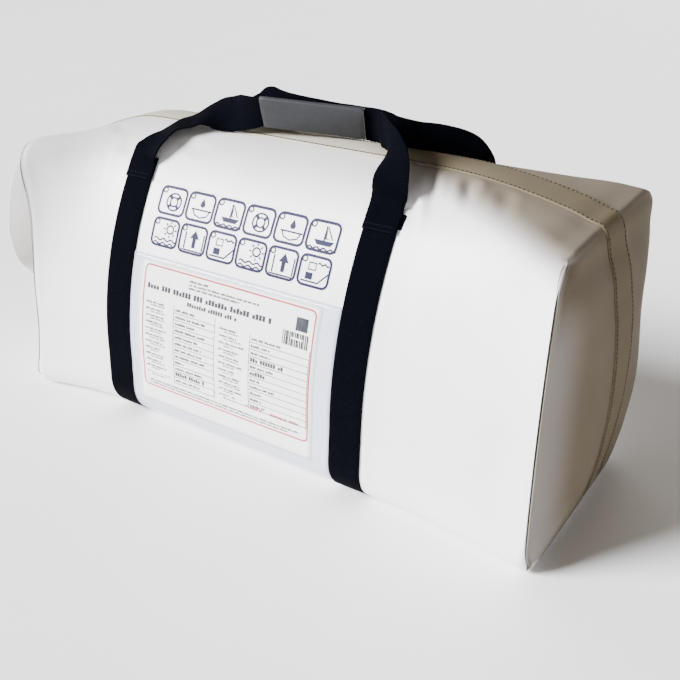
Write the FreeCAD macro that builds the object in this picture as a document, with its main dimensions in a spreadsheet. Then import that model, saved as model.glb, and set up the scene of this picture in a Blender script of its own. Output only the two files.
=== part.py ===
import FreeCAD, Part
import math
import os
import Sketcher

# A liferaft valise: a stuffed bag of coated fabric with two webbing girth
# straps, two carrying handles with a wrap grip, a loop handle on the left
# end, a clear document pocket and printed instructions on the front.
# Millimetres. The origin is the centre of the base on the ground, +X runs
# to the right end, -Y is the front, +Z is up.

V = FreeCAD.Vector
SIZES = [
    # middle of the bag: one section, the same all along between the tapers
    ("bag_height", 419, "ground to the top of the middle"),
    ("half_width", 154, "widest half width, at the belly"),
    ("belly_height", 112, "height of the widest line"),
    ("side_radius", 465, "curve of the front and back"),
    ("foot_radius", 70, "curve from the sides into the base"),
    ("middle_length", 430, "length of the even middle"),
    # right end
    ("right_height", 382, "height at the right end seam"),
    ("right_half_width", 165, "half width there"),
    ("right_shoulder", 48, "corner radius there"),
    ("right_reach_low", 441, "seam from the centre, at the base"),
    ("right_reach_high", 432, "seam from the centre, at the top"),
    ("right_dome", 35, "how far the right end panel bulges"),
    # left end
    ("left_height", 375, "height at the left end seam"),
    ("left_half_width", 165, "half width there"),
    ("left_shoulder", 48, "corner radius there"),
    ("left_reach_low", 361, "seam from the centre, at the base"),
    ("left_reach_high", 346, "seam from the centre, at the top"),
    ("left_dome", 88, "how far the slack left end panel bulges"),
    # both ends
    ("end_belly", 149, "height of the widest line at the end seams"),
    ("end_side_radius", 2200, "curve of the sides at the end seams"),
    ("end_crown_radius", 1400, "curve of the top at the end seams"),
    ("end_foot_radius", 45, "curve into the base at the end seams"),
    # webbing
    ("webbing_width", 45, "width of all webbing"),
    ("webbing", 2, "thickness of all webbing"),
    ("strap_pitch", 384, "middle to middle of the girth straps"),
    ("strap_top", 372, "height of the upper ends of the straps"),
    ("sewn_length", 27, "height of the sewn overlap of a handle"),
    ("layer_gap", 0.2, "air between sewn layers"),
    # closure
    ("band_width", 60, "strip over the closure"),
    ("band", 1.5, "thickness of that strip"),
    ("band_bottom", 40, "height of its ends above the ground"),
    # grip
    ("grip_length", 135, "wrap grip along the handle"),
    ("grip_height", 50, "wrap grip across the handle"),
    ("grip_thickness", 10, "wrap grip through the handle"),
    ("grip_round", 4.5, "rounding of its folded edges"),
    ("grip_fit", 0.4, "air between handle and wrap"),
    ("grip_x", 48, "middle of the grip from the centre"),
    ("grip_y", -21, "middle of the grip, front to back"),
    ("grip_rise", 30, "middle of the grip above the bag"),
    ("grip_yaw", 18, "degrees, right end towards the back"),
    ("grip_dip", 2, "degrees, right end down"),
    ("grip_lean", 20, "degrees, upper edge towards the front"),
    # document pocket
    ("pocket_gap", 0.3, "air between the film and a strap"),
    ("pocket_top", 255, "height of its upper edge"),
    ("pocket_bottom", 20, "height of its lower edge"),
    ("pocket_air", 1.2, "space under the film"),
    ("film", 0.5, "thickness of the film"),
    ("pocket_rim", 5, "welded rim of the film"),
    # sheet in the pocket
    ("sheet_length", 297, "long side of the sheet"),
    ("sheet_x", -5, "middle of the sheet from the centre"),
    ("sheet_top", 249, "height of its upper edge"),
    ("sheet_bottom", 41, "height of its lower edge"),
    ("sheet_lift", 0.2, "air behind the sheet"),
    ("sheet", 0.4, "thickness of the sheet"),
    ("print_layer", 0.1, "thickness of printing"),
    ("frame_length", 281, "printed frame, long side"),
    ("frame_top", 243, "height of its upper line"),
    ("frame_bottom", 68, "height of its lower line"),
    ("frame_line", 1.6, "width of the printed line"),
    # printed instructions
    ("tile_width", 44, "one printed frame"),
    ("tile_height", 36, "one printed frame, measured on the fabric"),
    ("tile_pitch", 48.6, "step along a row"),
    ("tile_row_step", 44, "step between the rows, on the fabric"),
    ("tile_start", 160, "lower row above the belly line, on the fabric"),
    ("tile_x", -2, "middle of the rows from the centre"),
    ("tile_line", 2.6, "width of a frame's line"),
    ("tile_corner", 5, "cut of a frame's corners"),
    # handle on the left end
    ("loop_top", 330, "height of its upper sewn end"),
    ("loop_bottom", 84, "height of its lower sewn end"),
    ("loop_sewn", 22, "height of each sewn end"),
    ("loop_reach", 590, "its outermost point from the centre"),
    ("loop_low", 102, "lowest part of the hanging loop"),
    ("loop_air", 2.6, "air between its sewn ends and the strip behind them"),
]

doc = FreeCAD.newDocument("liferaft_valise")
sheet = doc.addObject("Spreadsheet::Sheet", "sizes")
for row, (name, value, note) in enumerate(SIZES, 1):
    sheet.set(f"A{row}", note)
    sheet.set(f"B{row}", str(value))
    sheet.setAlias(f"B{row}", name)
doc.recompute()


def size(name):
    return float(sheet.get(name))


def total(*names):
    """the sum of some sizes: as a number, and as an expression to bind"""
    return sum(size(n) for n in names), " + ".join("sizes." + n for n in names)


# the middle section, as centres of its arcs (y, z)
TOP = size("bag_height")
SIDE = size("side_radius")
FOOT = size("foot_radius")
SIDE_Y = size("half_width") - SIDE
SIDE_Z = size("belly_height")
FOOT_Y = SIDE_Y + math.sqrt((SIDE - FOOT) ** 2 - (SIDE_Z - FOOT) ** 2)
CROWN = (SIDE ** 2 - SIDE_Y ** 2 - (TOP - SIDE_Z) ** 2) / (2 * (SIDE - TOP + SIDE_Z))
MIDDLE = size("middle_length") / 2


def side_y(z, off=0.0):
    """half width of the middle at a height on the side curve"""
    return SIDE_Y + math.sqrt((SIDE + off) ** 2 - (z - SIDE_Z) ** 2)


def arc_points(centre, radius, start, end):
    """first, middle and last point of an arc, from two directions"""
    a = math.atan2(start[1], start[0])
    b = math.atan2(end[1], end[0])
    out = []
    for angle in (a, (a + b) / 2, b):
        out.append((centre[0] + radius * math.cos(angle), centre[1] + radius * math.sin(angle)))
    return out


def away(a, b):
    return (b[0] - a[0], b[1] - a[1])


def middle_outline(off):
    """foot, side, shoulder and crown arcs of the middle, three points each"""
    side = (SIDE_Y, SIDE_Z)
    foot = (FOOT_Y, FOOT)
    crown = (0.0, TOP - CROWN)
    out_foot = away(side, foot)
    out_crown = away(side, crown)
    split = math.atan2(out_crown[1], out_crown[0]) * 0.5 + math.pi / 4
    mid = (math.cos(split), math.sin(split))
    return [
        arc_points(foot, FOOT + off, (0, -1), out_foot),
        arc_points(side, SIDE + off, out_foot, out_crown),
        arc_points(crown, CROWN + off, out_crown, mid),
        arc_points(crown, CROWN + off, mid, (0, 1)),
    ]


def end_outline(end, off):
    """the same arcs at an end seam: a boxier section"""
    top = size(end + "_height")
    small = size(end + "_shoulder")
    big = size("end_side_radius")
    low = size("end_foot_radius")
    flat = size("end_crown_radius")
    side = (size(end + "_half_width") - big, size("end_belly"))
    foot = (side[0] + math.sqrt((big - low) ** 2 - (side[1] - low) ** 2), low)
    crown = (0.0, top - flat)
    # shoulder centre: inside both the side and the crown by its radius
    gap = math.hypot(*away(side, crown))
    along = ((big - small) ** 2 - (flat - small) ** 2 + gap ** 2) / (2 * gap)
    across = math.sqrt((big - small) ** 2 - along ** 2)
    unit = ((crown[0] - side[0]) / gap, (crown[1] - side[1]) / gap)
    shoulder = (
        side[0] + along * unit[0] - across * unit[1],
        side[1] + along * unit[1] + across * unit[0],
    )
    return [
        arc_points(foot, low + off, (0, -1), away(side, foot)),
        arc_points(side, big + off, away(side, foot), away(side, shoulder)),
        arc_points(shoulder, small + off, away(side, shoulder), away(crown, shoulder)),
        arc_points(crown, flat + off, away(crown, shoulder), (0, 1)),
    ]


def blend(one, two, share):
    out = []
    for arc_a, arc_b in zip(one, two):
        out.append([tuple(p + (q - p) * share for p, q in zip(a, b)) for a, b in zip(arc_a, arc_b)])
    return out


def section_wire(outline, x_at):
    """closed wire of a half outline and its mirror image, x from the height"""
    def at(p, sign=1):
        return V(x_at(p[1]), sign * p[0], p[1])

    foot, side, shoulder, crown = outline
    edges = [Part.LineSegment(at(foot[0], -1), at(foot[0])).toShape()]
    for arc in (foot, side, shoulder):
        edges.append(Part.Arc(at(arc[0]), at(arc[1]), at(arc[2])).toShape())
    edges.append(Part.Arc(at(crown[0]), at(crown[2]), at(crown[0], -1)).toShape())
    for arc in (shoulder, side, foot):
        edges.append(Part.Arc(at(arc[2], -1), at(arc[1], -1), at(arc[0], -1)).toShape())
    return Part.Wire(edges)


def reach(end, z, off=0.0):
    """distance of an end seam from the centre at a height"""
    low = size(end + "_reach_low")
    high = size(end + "_reach_high")
    return low + (high - low) * z / size(end + "_height") + off


def bulge(end, share):
    """how far an end panel stands out at a share of the way to its seam"""
    return size(end + "_dome") * (1 - share ** 2.2)


def bag_end(end, off):
    """taper from the middle to the seam, and the bulged end panel"""
    sign = 1 if end == "right" else -1
    near = middle_outline(off)
    far = end_outline(end, off)
    taper = []
    for step in (0, 0.15, 0.32, 0.5, 0.67, 0.84, 1):
        def x_at(z, step=step):
            return sign * (MIDDLE + step * (reach(end, z, off) - MIDDLE))
        taper.append(section_wire(blend(near, far, step ** 1.7), x_at))
    centre = size(end + "_height") / 2
    panel = []
    for share in (1, 0.88, 0.7, 0.45, 0.15):
        small = [[(p[0] * share, centre + (p[1] - centre) * share) for p in arc] for arc in far]
        def x_at(z, share=share):
            return sign * (reach(end, z, off) + bulge(end, share))
        panel.append(section_wire(small, x_at))
    return [Part.makeLoft(taper, True, True), Part.makeLoft(panel, True, True)]


def bag(off=0.0):
    """the whole bag, or the same shape that much larger all round"""
    wire = section_wire(middle_outline(off), lambda z: -MIDDLE)
    middle = Part.Face(wire).extrude(V(2 * MIDDLE, 0, 0))
    return middle.multiFuse(bag_end("left", off) + bag_end("right", off)).removeSplitter()


def feature(label, shape):
    obj = doc.addObject("Part::Feature", label)
    obj.Label = label
    obj.Shape = shape
    return obj


# PartDesign helpers
def new_body(label):
    body = doc.addObject("PartDesign::Body", label)
    body.Label = label
    return body


def new_sketch(body, name, role):
    sketch = body.newObject("Sketcher::SketchObject", name)
    plane = [f for f in body.Origin.OriginFeatures if f.Role == role][0]
    sketch.AttachmentSupport = (plane, "")
    sketch.MapMode = "FlatFace"
    return sketch


def bind(sketch, name, term, *constraint):
    """add a constraint with its value, and tie it to the sizes"""
    value, expression = term
    index = sketch.addConstraint(Sketcher.Constraint(*constraint, value))
    sketch.renameConstraint(index, name)
    sketch.setExpression("Constraints." + name, expression)


def add_arc(sketch, centre, radius, start, end):
    """arc anticlockwise from one point's direction to another's"""
    a = math.atan2(start[1] - centre[1], start[0] - centre[0])
    b = math.atan2(end[1] - centre[1], end[0] - centre[0])
    circle = Part.Circle(V(centre[0], centre[1], 0), V(0, 0, 1), radius)
    return sketch.addGeometry(Part.ArcOfCircle(circle, a, b), False)


def add_line(sketch, start, end):
    return sketch.addGeometry(Part.LineSegment(V(*start, 0), V(*end, 0)), False)


def pad(body, sketch, name, term, both_ways=True):
    made = body.newObject("PartDesign::Pad", name)
    made.Profile = sketch
    made.Midplane = both_ways
    made.setExpression("Length", term[1])
    return made


def on_arc(centre, radius, z):
    """point of an arc, on its outer side, at a height"""
    return (centre[0] + math.sqrt(radius ** 2 - (z - centre[1]) ** 2), z)


def tangent_point(radius, lift=0.0):
    """where a side layer of this radius runs into the foot"""
    foot_y = SIDE_Y + math.sqrt((SIDE - FOOT) ** 2 - (SIDE_Z - FOOT - lift) ** 2)
    out = away((SIDE_Y, SIDE_Z), (foot_y, FOOT + lift))
    far = math.hypot(*out)
    return (SIDE_Y + out[0] / far * radius, SIDE_Z + out[1] / far * radius), foot_y


def girth_strap(label, sign):
    """webbing from one sewn end under the base to the other"""
    body = new_body(label)
    sketch = new_sketch(body, label + "_half", "YZ_Plane")
    thick = size("webbing")
    cap = size("strap_top")
    side = (SIDE_Y, SIDE_Z)
    turn_out, foot_y = tangent_point(SIDE + thick, thick)
    turn_in, foot_y = tangent_point(SIDE, thick)
    foot = (foot_y, FOOT + thick)
    cap_out = on_arc(side, SIDE + thick, cap)
    cap_in = on_arc(side, SIDE, cap)
    floor_out = add_line(sketch, (0, 0), (foot_y, 0))
    foot_out = add_arc(sketch, foot, FOOT + thick, (foot_y, 0), turn_out)
    side_out = add_arc(sketch, side, SIDE + thick, turn_out, cap_out)
    end = add_line(sketch, cap_out, cap_in)
    side_in = add_arc(sketch, side, SIDE, turn_in, cap_in)
    foot_in = add_arc(sketch, foot, FOOT, (foot_y, thick), turn_in)
    floor_in = add_line(sketch, (foot_y, thick), (0, thick))
    close = add_line(sketch, (0, thick), (0, 0))
    add = sketch.addConstraint
    for one, two in (
        ((floor_out, 2), (foot_out, 1)),
        ((foot_out, 2), (side_out, 1)),
        ((side_in, 1), (foot_in, 2)),
        ((foot_in, 1), (floor_in, 1)),
    ):
        add(Sketcher.Constraint("Tangent", *one, *two))
    for one, two in (
        ((side_out, 2), (end, 1)),
        ((end, 2), (side_in, 2)),
        ((floor_in, 2), (close, 1)),
        ((close, 2), (floor_out, 1)),
        ((floor_out, 1), (-1, 1)),
        ((side_in, 3), (side_out, 3)),
        ((foot_in, 3), (foot_out, 3)),
    ):
        add(Sketcher.Constraint("Coincident", *one, *two))
    for line in (floor_out, end):
        add(Sketcher.Constraint("Horizontal", line))
    add(Sketcher.Constraint("Vertical", close))
    bind(sketch, "foot_outer", total("foot_radius", "webbing"), "Radius", foot_out)
    bind(sketch, "foot_inner", total("foot_radius"), "Radius", foot_in)
    bind(sketch, "side_outer", total("side_radius", "webbing"), "Radius", side_out)
    bind(sketch, "belly", total("belly_height"), "DistanceY", -1, 1, side_out, 3)
    value = size("side_radius") - size("half_width")
    shift = (value, "sizes.side_radius - sizes.half_width")
    bind(sketch, "side_middle", shift, "DistanceX", side_out, 3, -1, 1)
    bind(sketch, "cap", total("strap_top"), "DistanceY", -1, 1, end, 1)
    pad(body, sketch, label + "_pad", total("webbing_width"))
    half = body.Tip
    mirror = body.newObject("PartDesign::Mirrored", label + "_back")
    mirror.Originals = [half]
    plane = [f for f in body.Origin.OriginFeatures if f.Role == "XZ_Plane"][0]
    mirror.MirrorPlane = (plane, [""])
    body.Tip = mirror
    body.setExpression("Placement.Base.x", f"{sign} * sizes.strap_pitch / 2")
    return body


def wall_pad(body, name, inner, outer, low, high, length):
    """a layer that follows the front, between two offsets and two heights"""
    sketch = new_sketch(body, name, "YZ_Plane")
    side = (-SIDE_Y, SIDE_Z)
    foot = (-FOOT_Y, FOOT)
    in_side = total("side_radius", *inner)
    out_side = total("side_radius", *outer)
    in_foot = total("foot_radius", *inner)
    out_foot = total("foot_radius", *outer)
    add = sketch.addConstraint
    z_low, z_high = low[0], high[0]

    def front(centre, radius, z):
        return (centre[0] - math.sqrt(radius ** 2 - (z - centre[1]) ** 2), z)

    def turn(radius):
        point = tangent_point(radius)[0]
        return (-point[0], point[1])

    wraps = z_low < turn(SIDE)[1]
    top_out = front(side, out_side[0], z_high)
    top_in = front(side, in_side[0], z_high)
    if wraps:
        low_out = front(foot, out_foot[0], z_low)
        low_in = front(foot, in_foot[0], z_low)
        arc_out = add_arc(sketch, side, out_side[0], top_out, turn(out_side[0]))
        arc_in = add_arc(sketch, side, in_side[0], top_in, turn(in_side[0]))
        toe_out = add_arc(sketch, foot, out_foot[0], turn(out_side[0]), low_out)
        toe_in = add_arc(sketch, foot, in_foot[0], turn(in_side[0]), low_in)
        add(Sketcher.Constraint("Tangent", arc_out, 2, toe_out, 1))
        add(Sketcher.Constraint("Tangent", arc_in, 2, toe_in, 1))
        add(Sketcher.Constraint("Coincident", toe_in, 3, toe_out, 3))
        bind(sketch, "toe_out", out_foot, "Radius", toe_out)
        bind(sketch, "toe_height", total("foot_radius"), "DistanceY", -1, 1, toe_out, 3)
    else:
        low_out = front(side, out_side[0], z_low)
        low_in = front(side, in_side[0], z_low)
        arc_out = toe_out = add_arc(sketch, side, out_side[0], top_out, low_out)
        arc_in = toe_in = add_arc(sketch, side, in_side[0], top_in, low_in)
    top = add_line(sketch, top_out, top_in)
    bottom = add_line(sketch, low_out, low_in)
    add(Sketcher.Constraint("Coincident", arc_out, 1, top, 1))
    add(Sketcher.Constraint("Coincident", arc_in, 1, top, 2))
    add(Sketcher.Constraint("Coincident", toe_out, 2, bottom, 1))
    add(Sketcher.Constraint("Coincident", toe_in, 2, bottom, 2))
    add(Sketcher.Constraint("Coincident", arc_in, 3, arc_out, 3))
    add(Sketcher.Constraint("Horizontal", top))
    add(Sketcher.Constraint("Horizontal", bottom))
    bind(sketch, "radius_out", out_side, "Radius", arc_out)
    bind(sketch, "radius_in", in_side, "Radius", arc_in)
    bind(sketch, "belly", total("belly_height"), "DistanceY", -1, 1, arc_out, 3)
    value = size("side_radius") - size("half_width")
    shift = (value, "sizes.side_radius - sizes.half_width")
    bind(sketch, "side_middle", shift, "DistanceX", -1, 1, arc_out, 3)
    bind(sketch, "upper", high, "DistanceY", -1, 1, top, 1)
    bind(sketch, "lower", low, "DistanceY", -1, 1, bottom, 1)
    return pad(body, sketch, name + "_pad", length)


# girth straps and the bag that they are pulled into at the base
straps = [girth_strap("girth_strap_left", -1), girth_strap("girth_strap_right", 1)]
doc.recompute()
bag_shape = bag()
full = feature("bag_form", bag_shape)
both = doc.addObject("Part::MultiFuse", "strap_seats")
both.Shapes = straps
valise = doc.addObject("Part::Cut", "valise_body")
valise.Label = "valise_body"
valise.Base = full
valise.Tool = both
doc.recompute()

# strip over the closure: along the top and down both ends
half_band = size("band_width") / 2
cutter = Part.makeBox(2000, 2 * half_band, 2000, V(-1000, -half_band, size("band_bottom")))
band = feature("closure_band", bag(size("band")).common(cutter).cut(bag_shape))


def smooth(stations, parts):
    """more stations on a curve through the given ones"""
    out = []
    last = len(stations) - 1
    for i in range(last):
        before, one, two, after = (stations[j] for j in (max(i - 1, 0), i, i + 1, min(i + 2, last)))
        for k in range(parts):
            u = k / parts
            pair = []
            for a, b, c, d in zip(before, one, two, after):
                pair.append(
                    b + (c - a) * (u / 2)
                    + (a * 2 - b * 5 + c * 4 - d) * (u ** 2 / 2)
                    + (b * 3 - a - c * 3 + d) * (u ** 3 / 2)
                )
            out.append(tuple(pair))
    return out + [stations[last]]


def webbing(path):
    """a strip through stations of centre point and direction across"""
    wires = []
    for i, (centre, across) in enumerate(path):
        along = path[min(i + 1, len(path) - 1)][0] - path[max(i - 1, 0)][0]
        along.normalize()
        across = across - along * across.dot(along)
        across.normalize()
        out = along.cross(across) * (size("webbing") / 2)
        across = across * (size("webbing_width") / 2)
        corners = [centre - across - out, centre + across - out, centre + across + out, centre - across + out]
        wires.append(Part.makePolygon(corners + corners[:1]))
    return Part.makeLoft(wires, True, True)


STRAP_X = size("strap_pitch") / 2
SEWN_OFF = size("webbing") * 1.5 + size("layer_gap")
SEWN_Z = [size("strap_top") - size("sewn_length") * k for k in (0, 0.5, 1)]
ACROSS = V(1, 0, 0)


def sewn(sign_x, sign_y, upwards, across):
    """stations of a handle's end, flat on the upper end of a strap"""
    out = []
    for z in SEWN_Z[::-1] if upwards else SEWN_Z:
        out.append((V(sign_x * STRAP_X, sign_y * side_y(z, SEWN_OFF), z), across))
    return out


def leaving(x, side, drop, stand, across, anchor):
    """a station just above a strap's end, standing off the wall by a distance"""
    z = TOP - drop
    return (V(anchor * STRAP_X + x, side * (side_y(z, SEWN_OFF) + stand), z), V(*across))


def free(x, y, rise, across, anchor):
    """a station of the free part: from a strap or the centre, above the bag"""
    return (V(anchor * STRAP_X + x, y, TOP + rise), V(*across))


# frame of the grip: along the handle, across it, and through it
yaw, dip, lean = (math.radians(size(n)) for n in ("grip_yaw", "grip_dip", "grip_lean"))
grip_along = V(math.cos(yaw) * math.cos(dip), math.sin(yaw) * math.cos(dip), -math.sin(dip))
level = V(math.sin(yaw), -math.cos(yaw), 0)
grip_across = level.cross(grip_along) * math.cos(lean) + level * math.sin(lean)
grip_through = grip_along.cross(grip_across)
grip_centre = V(size("grip_x"), size("grip_y"), TOP + size("grip_rise"))
half_grip = grip_along * (size("grip_length") / 2 + 4)
grip_left = (grip_centre - half_grip, grip_across)
grip_middle = (grip_centre, grip_across)
grip_right = (grip_centre + half_grip, grip_across)

front_left = sewn(-1, -1, True, -ACROSS) + [
    leaving(1, -1, 37, 3, (-1, 0.1, 0.05), -1),
    free(7, -72, -25, (-0.9, 0.35, 0.2), -1),
    free(30, -52, -6, (-0.5, 0.75, 0.2), -1),
    free(44, -39, 0, (-0.25, 0.7, 0.65), -1),
    free(70, -29, 12, (0, 0.45, 0.89), -1),
    free(114, -28, 19, (0, 0.2, 0.98), -1),
    grip_left,
    grip_middle,
]
front_right = [
    grip_middle,
    grip_right,
    free(-46, -18, 25, (0.1, -0.3, 0.95), 1),
    free(-20, -45, 26, (0.45, -0.2, 0.87), 1),
    free(-3, -65, 8, (0.95, 0, 0.3), 1),
    free(6, -83, -14, (1, 0, 0), 1),
    leaving(1, -1, 36, 5, (1, 0, 0), 1),
] + sewn(1, -1, False, ACROSS)
# straight inside the grip, curved on both sides of it
STEPS = 2
front_path = smooth(front_left, STEPS)[:-STEPS] + smooth(front_right, STEPS)[STEPS:]
front_handle = feature("front_handle", webbing(front_path))

rear_route = sewn(-1, 1, True, -ACROSS) + [
    leaving(3, 1, 37, 3, (-1, -0.1, 0.1), -1),
    free(26, 75, -22, (-0.8, -0.25, 0.5), -1),
    free(75, 61, -10, (-0.46, -0.37, 0.82), -1),
    free(116, 33, 13, (-0.3, -0.25, 0.92), -1),
    free(142, 21, 26, (-0.1, 0, 1), -1),
    free(0, 18, 23, (0, -0.2, 0.98), 0),
    free(60, 22, 20, (0, -0.25, 0.97), 0),
    free(-76, 27, 18.5, (0, -0.25, 0.97), 1),
    free(-50, 31, 14, (0.1, -0.4, 0.9), 1),
    free(-20, 38, 11, (0.1, -0.45, 0.88), 1),
    free(8, 42, 10.5, (0.2, -0.4, 0.88), 1),
    free(37, 48, 9, (0.5, -0.1, 0.85), 1),
    free(51, 58, -1, (0.85, 0.1, 0.5), 1),
    free(45, 71, -14, (0.9, 0.1, -0.2), 1),
    free(26, 80, -29, (0.85, 0.1, -0.45), 1),
    leaving(8, 1, 40, 4, (0.95, 0, -0.25), 1),
] + sewn(1, 1, False, ACROSS)
rear_handle = feature("rear_handle", webbing(smooth(rear_route, STEPS)))


def panel_x(end, z, off):
    """end panel's distance from the centre on the middle line, at a height"""
    middle = size(end + "_height") / 2
    return reach(end, z) + bulge(end, min(abs(z - middle) / middle, 1)) + off


# loop handle, hanging from the left end
loop_off = size("band") + size("webbing") / 2 + size("loop_air")
loop_points = []
for share in (0, 0.5, 1):
    z = size("loop_top") - share * size("loop_sewn")
    loop_points.append((-panel_x("left", z, loop_off), z))
reach_x = size("loop_reach")
top_z = size("loop_top") - size("loop_sewn")
low_z = size("loop_low")
loop_points += [
    (-reach_x + 135, top_z - 5),
    (-reach_x + 95, top_z),
    (-reach_x + 55, top_z - 6),
    (-reach_x + 28, top_z - 40),
    (-reach_x + 9, top_z - 95),
    (-reach_x, (top_z + low_z) / 2 - 35),
    (-reach_x + 12, low_z + 20),
    (-reach_x + 42, low_z),
    (-reach_x + 76, low_z - 3),
    (-reach_x + 104, low_z + 6),
]
for share in (0, 0.5, 1):
    z = size("loop_bottom") + (1 - share) * size("loop_sewn")
    loop_points.append((-panel_x("left", z, loop_off), z))
loop_route = [(V(x, 0, z), V(0, 1, 0)) for x, z in loop_points]
end_handle = feature("end_handle", webbing(smooth(loop_route, STEPS)))

# padded wrap round the front handle, with the slot that the handle runs in
grip = new_body("handle_grip")


def centred_rectangle(sketch, wide, high, corner):
    """rectangle about the origin, its corners rounded if a radius is given"""
    w, k = wide[0] / 2, high[0] / 2
    points = [(-w, -k), (w, -k), (w, k), (-w, k)]
    lines = [add_line(sketch, points[i], points[(i + 1) % 4]) for i in range(4)]
    for i in range(4):
        sketch.addConstraint(Sketcher.Constraint("Coincident", lines[i], 2, lines[(i + 1) % 4], 1))
        kind = "Horizontal" if i % 2 == 0 else "Vertical"
        sketch.addConstraint(Sketcher.Constraint(kind, lines[i]))
    sketch.addConstraint(Sketcher.Constraint("Symmetric", lines[0], 1, lines[2], 1, -1, 1))
    bind(sketch, "wide", wide, "DistanceX", lines[0], 1, lines[0], 2)
    bind(sketch, "high", high, "DistanceY", lines[1], 1, lines[1], 2)


outer_sketch = new_sketch(grip, "grip_outline", "YZ_Plane")
centred_rectangle(outer_sketch, total("grip_thickness"), total("grip_height"), None)
outer_pad = pad(grip, outer_sketch, "grip_pad", total("grip_length"))
doc.recompute()
long_edges = []
for i, edge in enumerate(outer_pad.Shape.Edges, 1):
    if abs(edge.Length - size("grip_length")) < 1e-6:
        long_edges.append(f"Edge{i}")
rounding = grip.newObject("PartDesign::Fillet", "grip_rounding")
rounding.Base = (outer_pad, long_edges)
rounding.setExpression("Radius", "sizes.grip_round")
doc.recompute()
slot_sketch = new_sketch(grip, "grip_slot", "YZ_Plane")
centred_rectangle(
    slot_sketch,
    (size("webbing") + 2 * size("grip_fit"), "sizes.webbing + 2 * sizes.grip_fit"),
    (size("webbing_width") + 2 * size("grip_fit"), "sizes.webbing_width + 2 * sizes.grip_fit"),
    None,
)
slot = grip.newObject("PartDesign::Pocket", "grip_slot_cut")
slot.Profile = slot_sketch
slot.Midplane = True
slot.Type = "ThroughAll"
doc.recompute()
turned = FreeCAD.Rotation(grip_along, -grip_through, grip_across, "XYZ")
grip.Placement = FreeCAD.Placement(grip_centre, turned)

# clear pocket from strap to strap: film with a hollow behind it, welded
# along its rim
BETWEEN = size("strap_pitch") - size("webbing_width") - 2 * size("pocket_gap")
BETWEEN_TERM = "sizes.strap_pitch - sizes.webbing_width - 2 * sizes.pocket_gap"
pocket = new_body("document_pocket")
wall_pad(
    pocket, "film_outline", ["layer_gap"], ["layer_gap", "pocket_air", "film"],
    total("pocket_bottom"), total("pocket_top"), (BETWEEN, BETWEEN_TERM),
)
doc.recompute()
hollow_form = new_body("pocket_hollow")
wall_pad(
    hollow_form, "hollow_outline", ["layer_gap"], ["layer_gap", "pocket_air"],
    total("pocket_bottom", "pocket_rim"),
    (size("pocket_top") - size("pocket_rim"), "sizes.pocket_top - sizes.pocket_rim"),
    (BETWEEN - 2 * size("pocket_rim"), BETWEEN_TERM + " - 2 * sizes.pocket_rim"),
)
pocket.Label = "film_form"
film = doc.addObject("Part::Cut", "document_pocket_film")
film.Label = "document_pocket"
film.Base = pocket
film.Tool = hollow_form

# sheet in the pocket
page = new_body("certificate")
wall_pad(
    page, "sheet_outline", ["layer_gap", "sheet_lift"], ["layer_gap", "sheet_lift", "sheet"],
    total("sheet_bottom"), total("sheet_top"), total("sheet_length"),
)
page.setExpression("Placement.Base.x", "sizes.sheet_x")

# its printed frame: a thin layer with the field cut out of it
PRINTED = ["layer_gap", "sheet_lift", "sheet"]
frame_form = new_body("frame_form")
wall_pad(
    frame_form, "frame_outline", PRINTED, PRINTED + ["print_layer"],
    total("frame_bottom"), total("frame_top"), total("frame_length"),
)
field_form = new_body("field_form")
wall_pad(
    field_form, "field_outline", PRINTED, PRINTED + ["print_layer"],
    total("frame_bottom", "frame_line"),
    (size("frame_top") - size("frame_line"), "sizes.frame_top - sizes.frame_line"),
    (size("frame_length") - 2 * size("frame_line"), "sizes.frame_length - 2 * sizes.frame_line"),
)
frame_print = doc.addObject("Part::Cut", "certificate_print")
frame_print.Label = "certificate_print"
frame_print.Base = frame_form
frame_print.Tool = field_form
for form in (frame_form, field_form):
    form.setExpression("Placement.Base.x", "sizes.sheet_x")
doc.recompute()


def tile(x, z, wide, high, corner):
    """upright block through the front, its corners cut at 45 degrees"""
    w = wide / 2
    k = high / 2
    outline = [
        (-w + corner, -k), (w - corner, -k), (w, -k + corner), (w, k - corner),
        (w - corner, k), (-w + corner, k), (-w, k - corner), (-w, -k + corner),
    ]
    points = [V(x + a, 0, z + b) for a, b in outline]
    return Part.Face(Part.makePolygon(points + points[:1])).extrude(V(0, -60, 0))


def tile_height(arc):
    """height on the ground of a length measured up the side curve"""
    return SIDE_Z + SIDE * math.sin(arc / SIDE)


# two rows of rounded frames printed on the front
lift = size("print_layer")
ink_form = Part.Face(section_wire(middle_outline(lift), lambda z: -MIDDLE)).extrude(V(2 * MIDDLE, 0, 0))
ink_form = ink_form.cut(Part.Face(section_wire(middle_outline(0), lambda z: -MIDDLE)).extrude(V(2 * MIDDLE, 0, 0)))
tiles = []
for row in (0, 1):
    start = size("tile_start") + row * size("tile_row_step")
    low = tile_height(start)
    high = tile_height(start + size("tile_height"))
    for column in range(6):
        x = size("tile_x") + (column - 2.5) * size("tile_pitch")
        z = (low + high) / 2
        line = size("tile_line")
        corner = size("tile_corner")
        ring = tile(x, z, size("tile_width"), high - low, corner)
        hole = tile(x, z, size("tile_width") - 2 * line, high - low - 2 * line, corner - 0.6 * line)
        ring = ring.cut(hole)
        ring.translate(V(0, -side_y(high) + 20, 0))
        tiles.append(ring.common(ink_form))
instruction_print = feature("instruction_print", Part.makeCompound(tiles))
doc.recompute()

PARTS = [
    valise, band, straps[0], straps[1], front_handle, rear_handle, grip, end_handle,
    film, page, frame_print, instruction_print,
]

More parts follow.
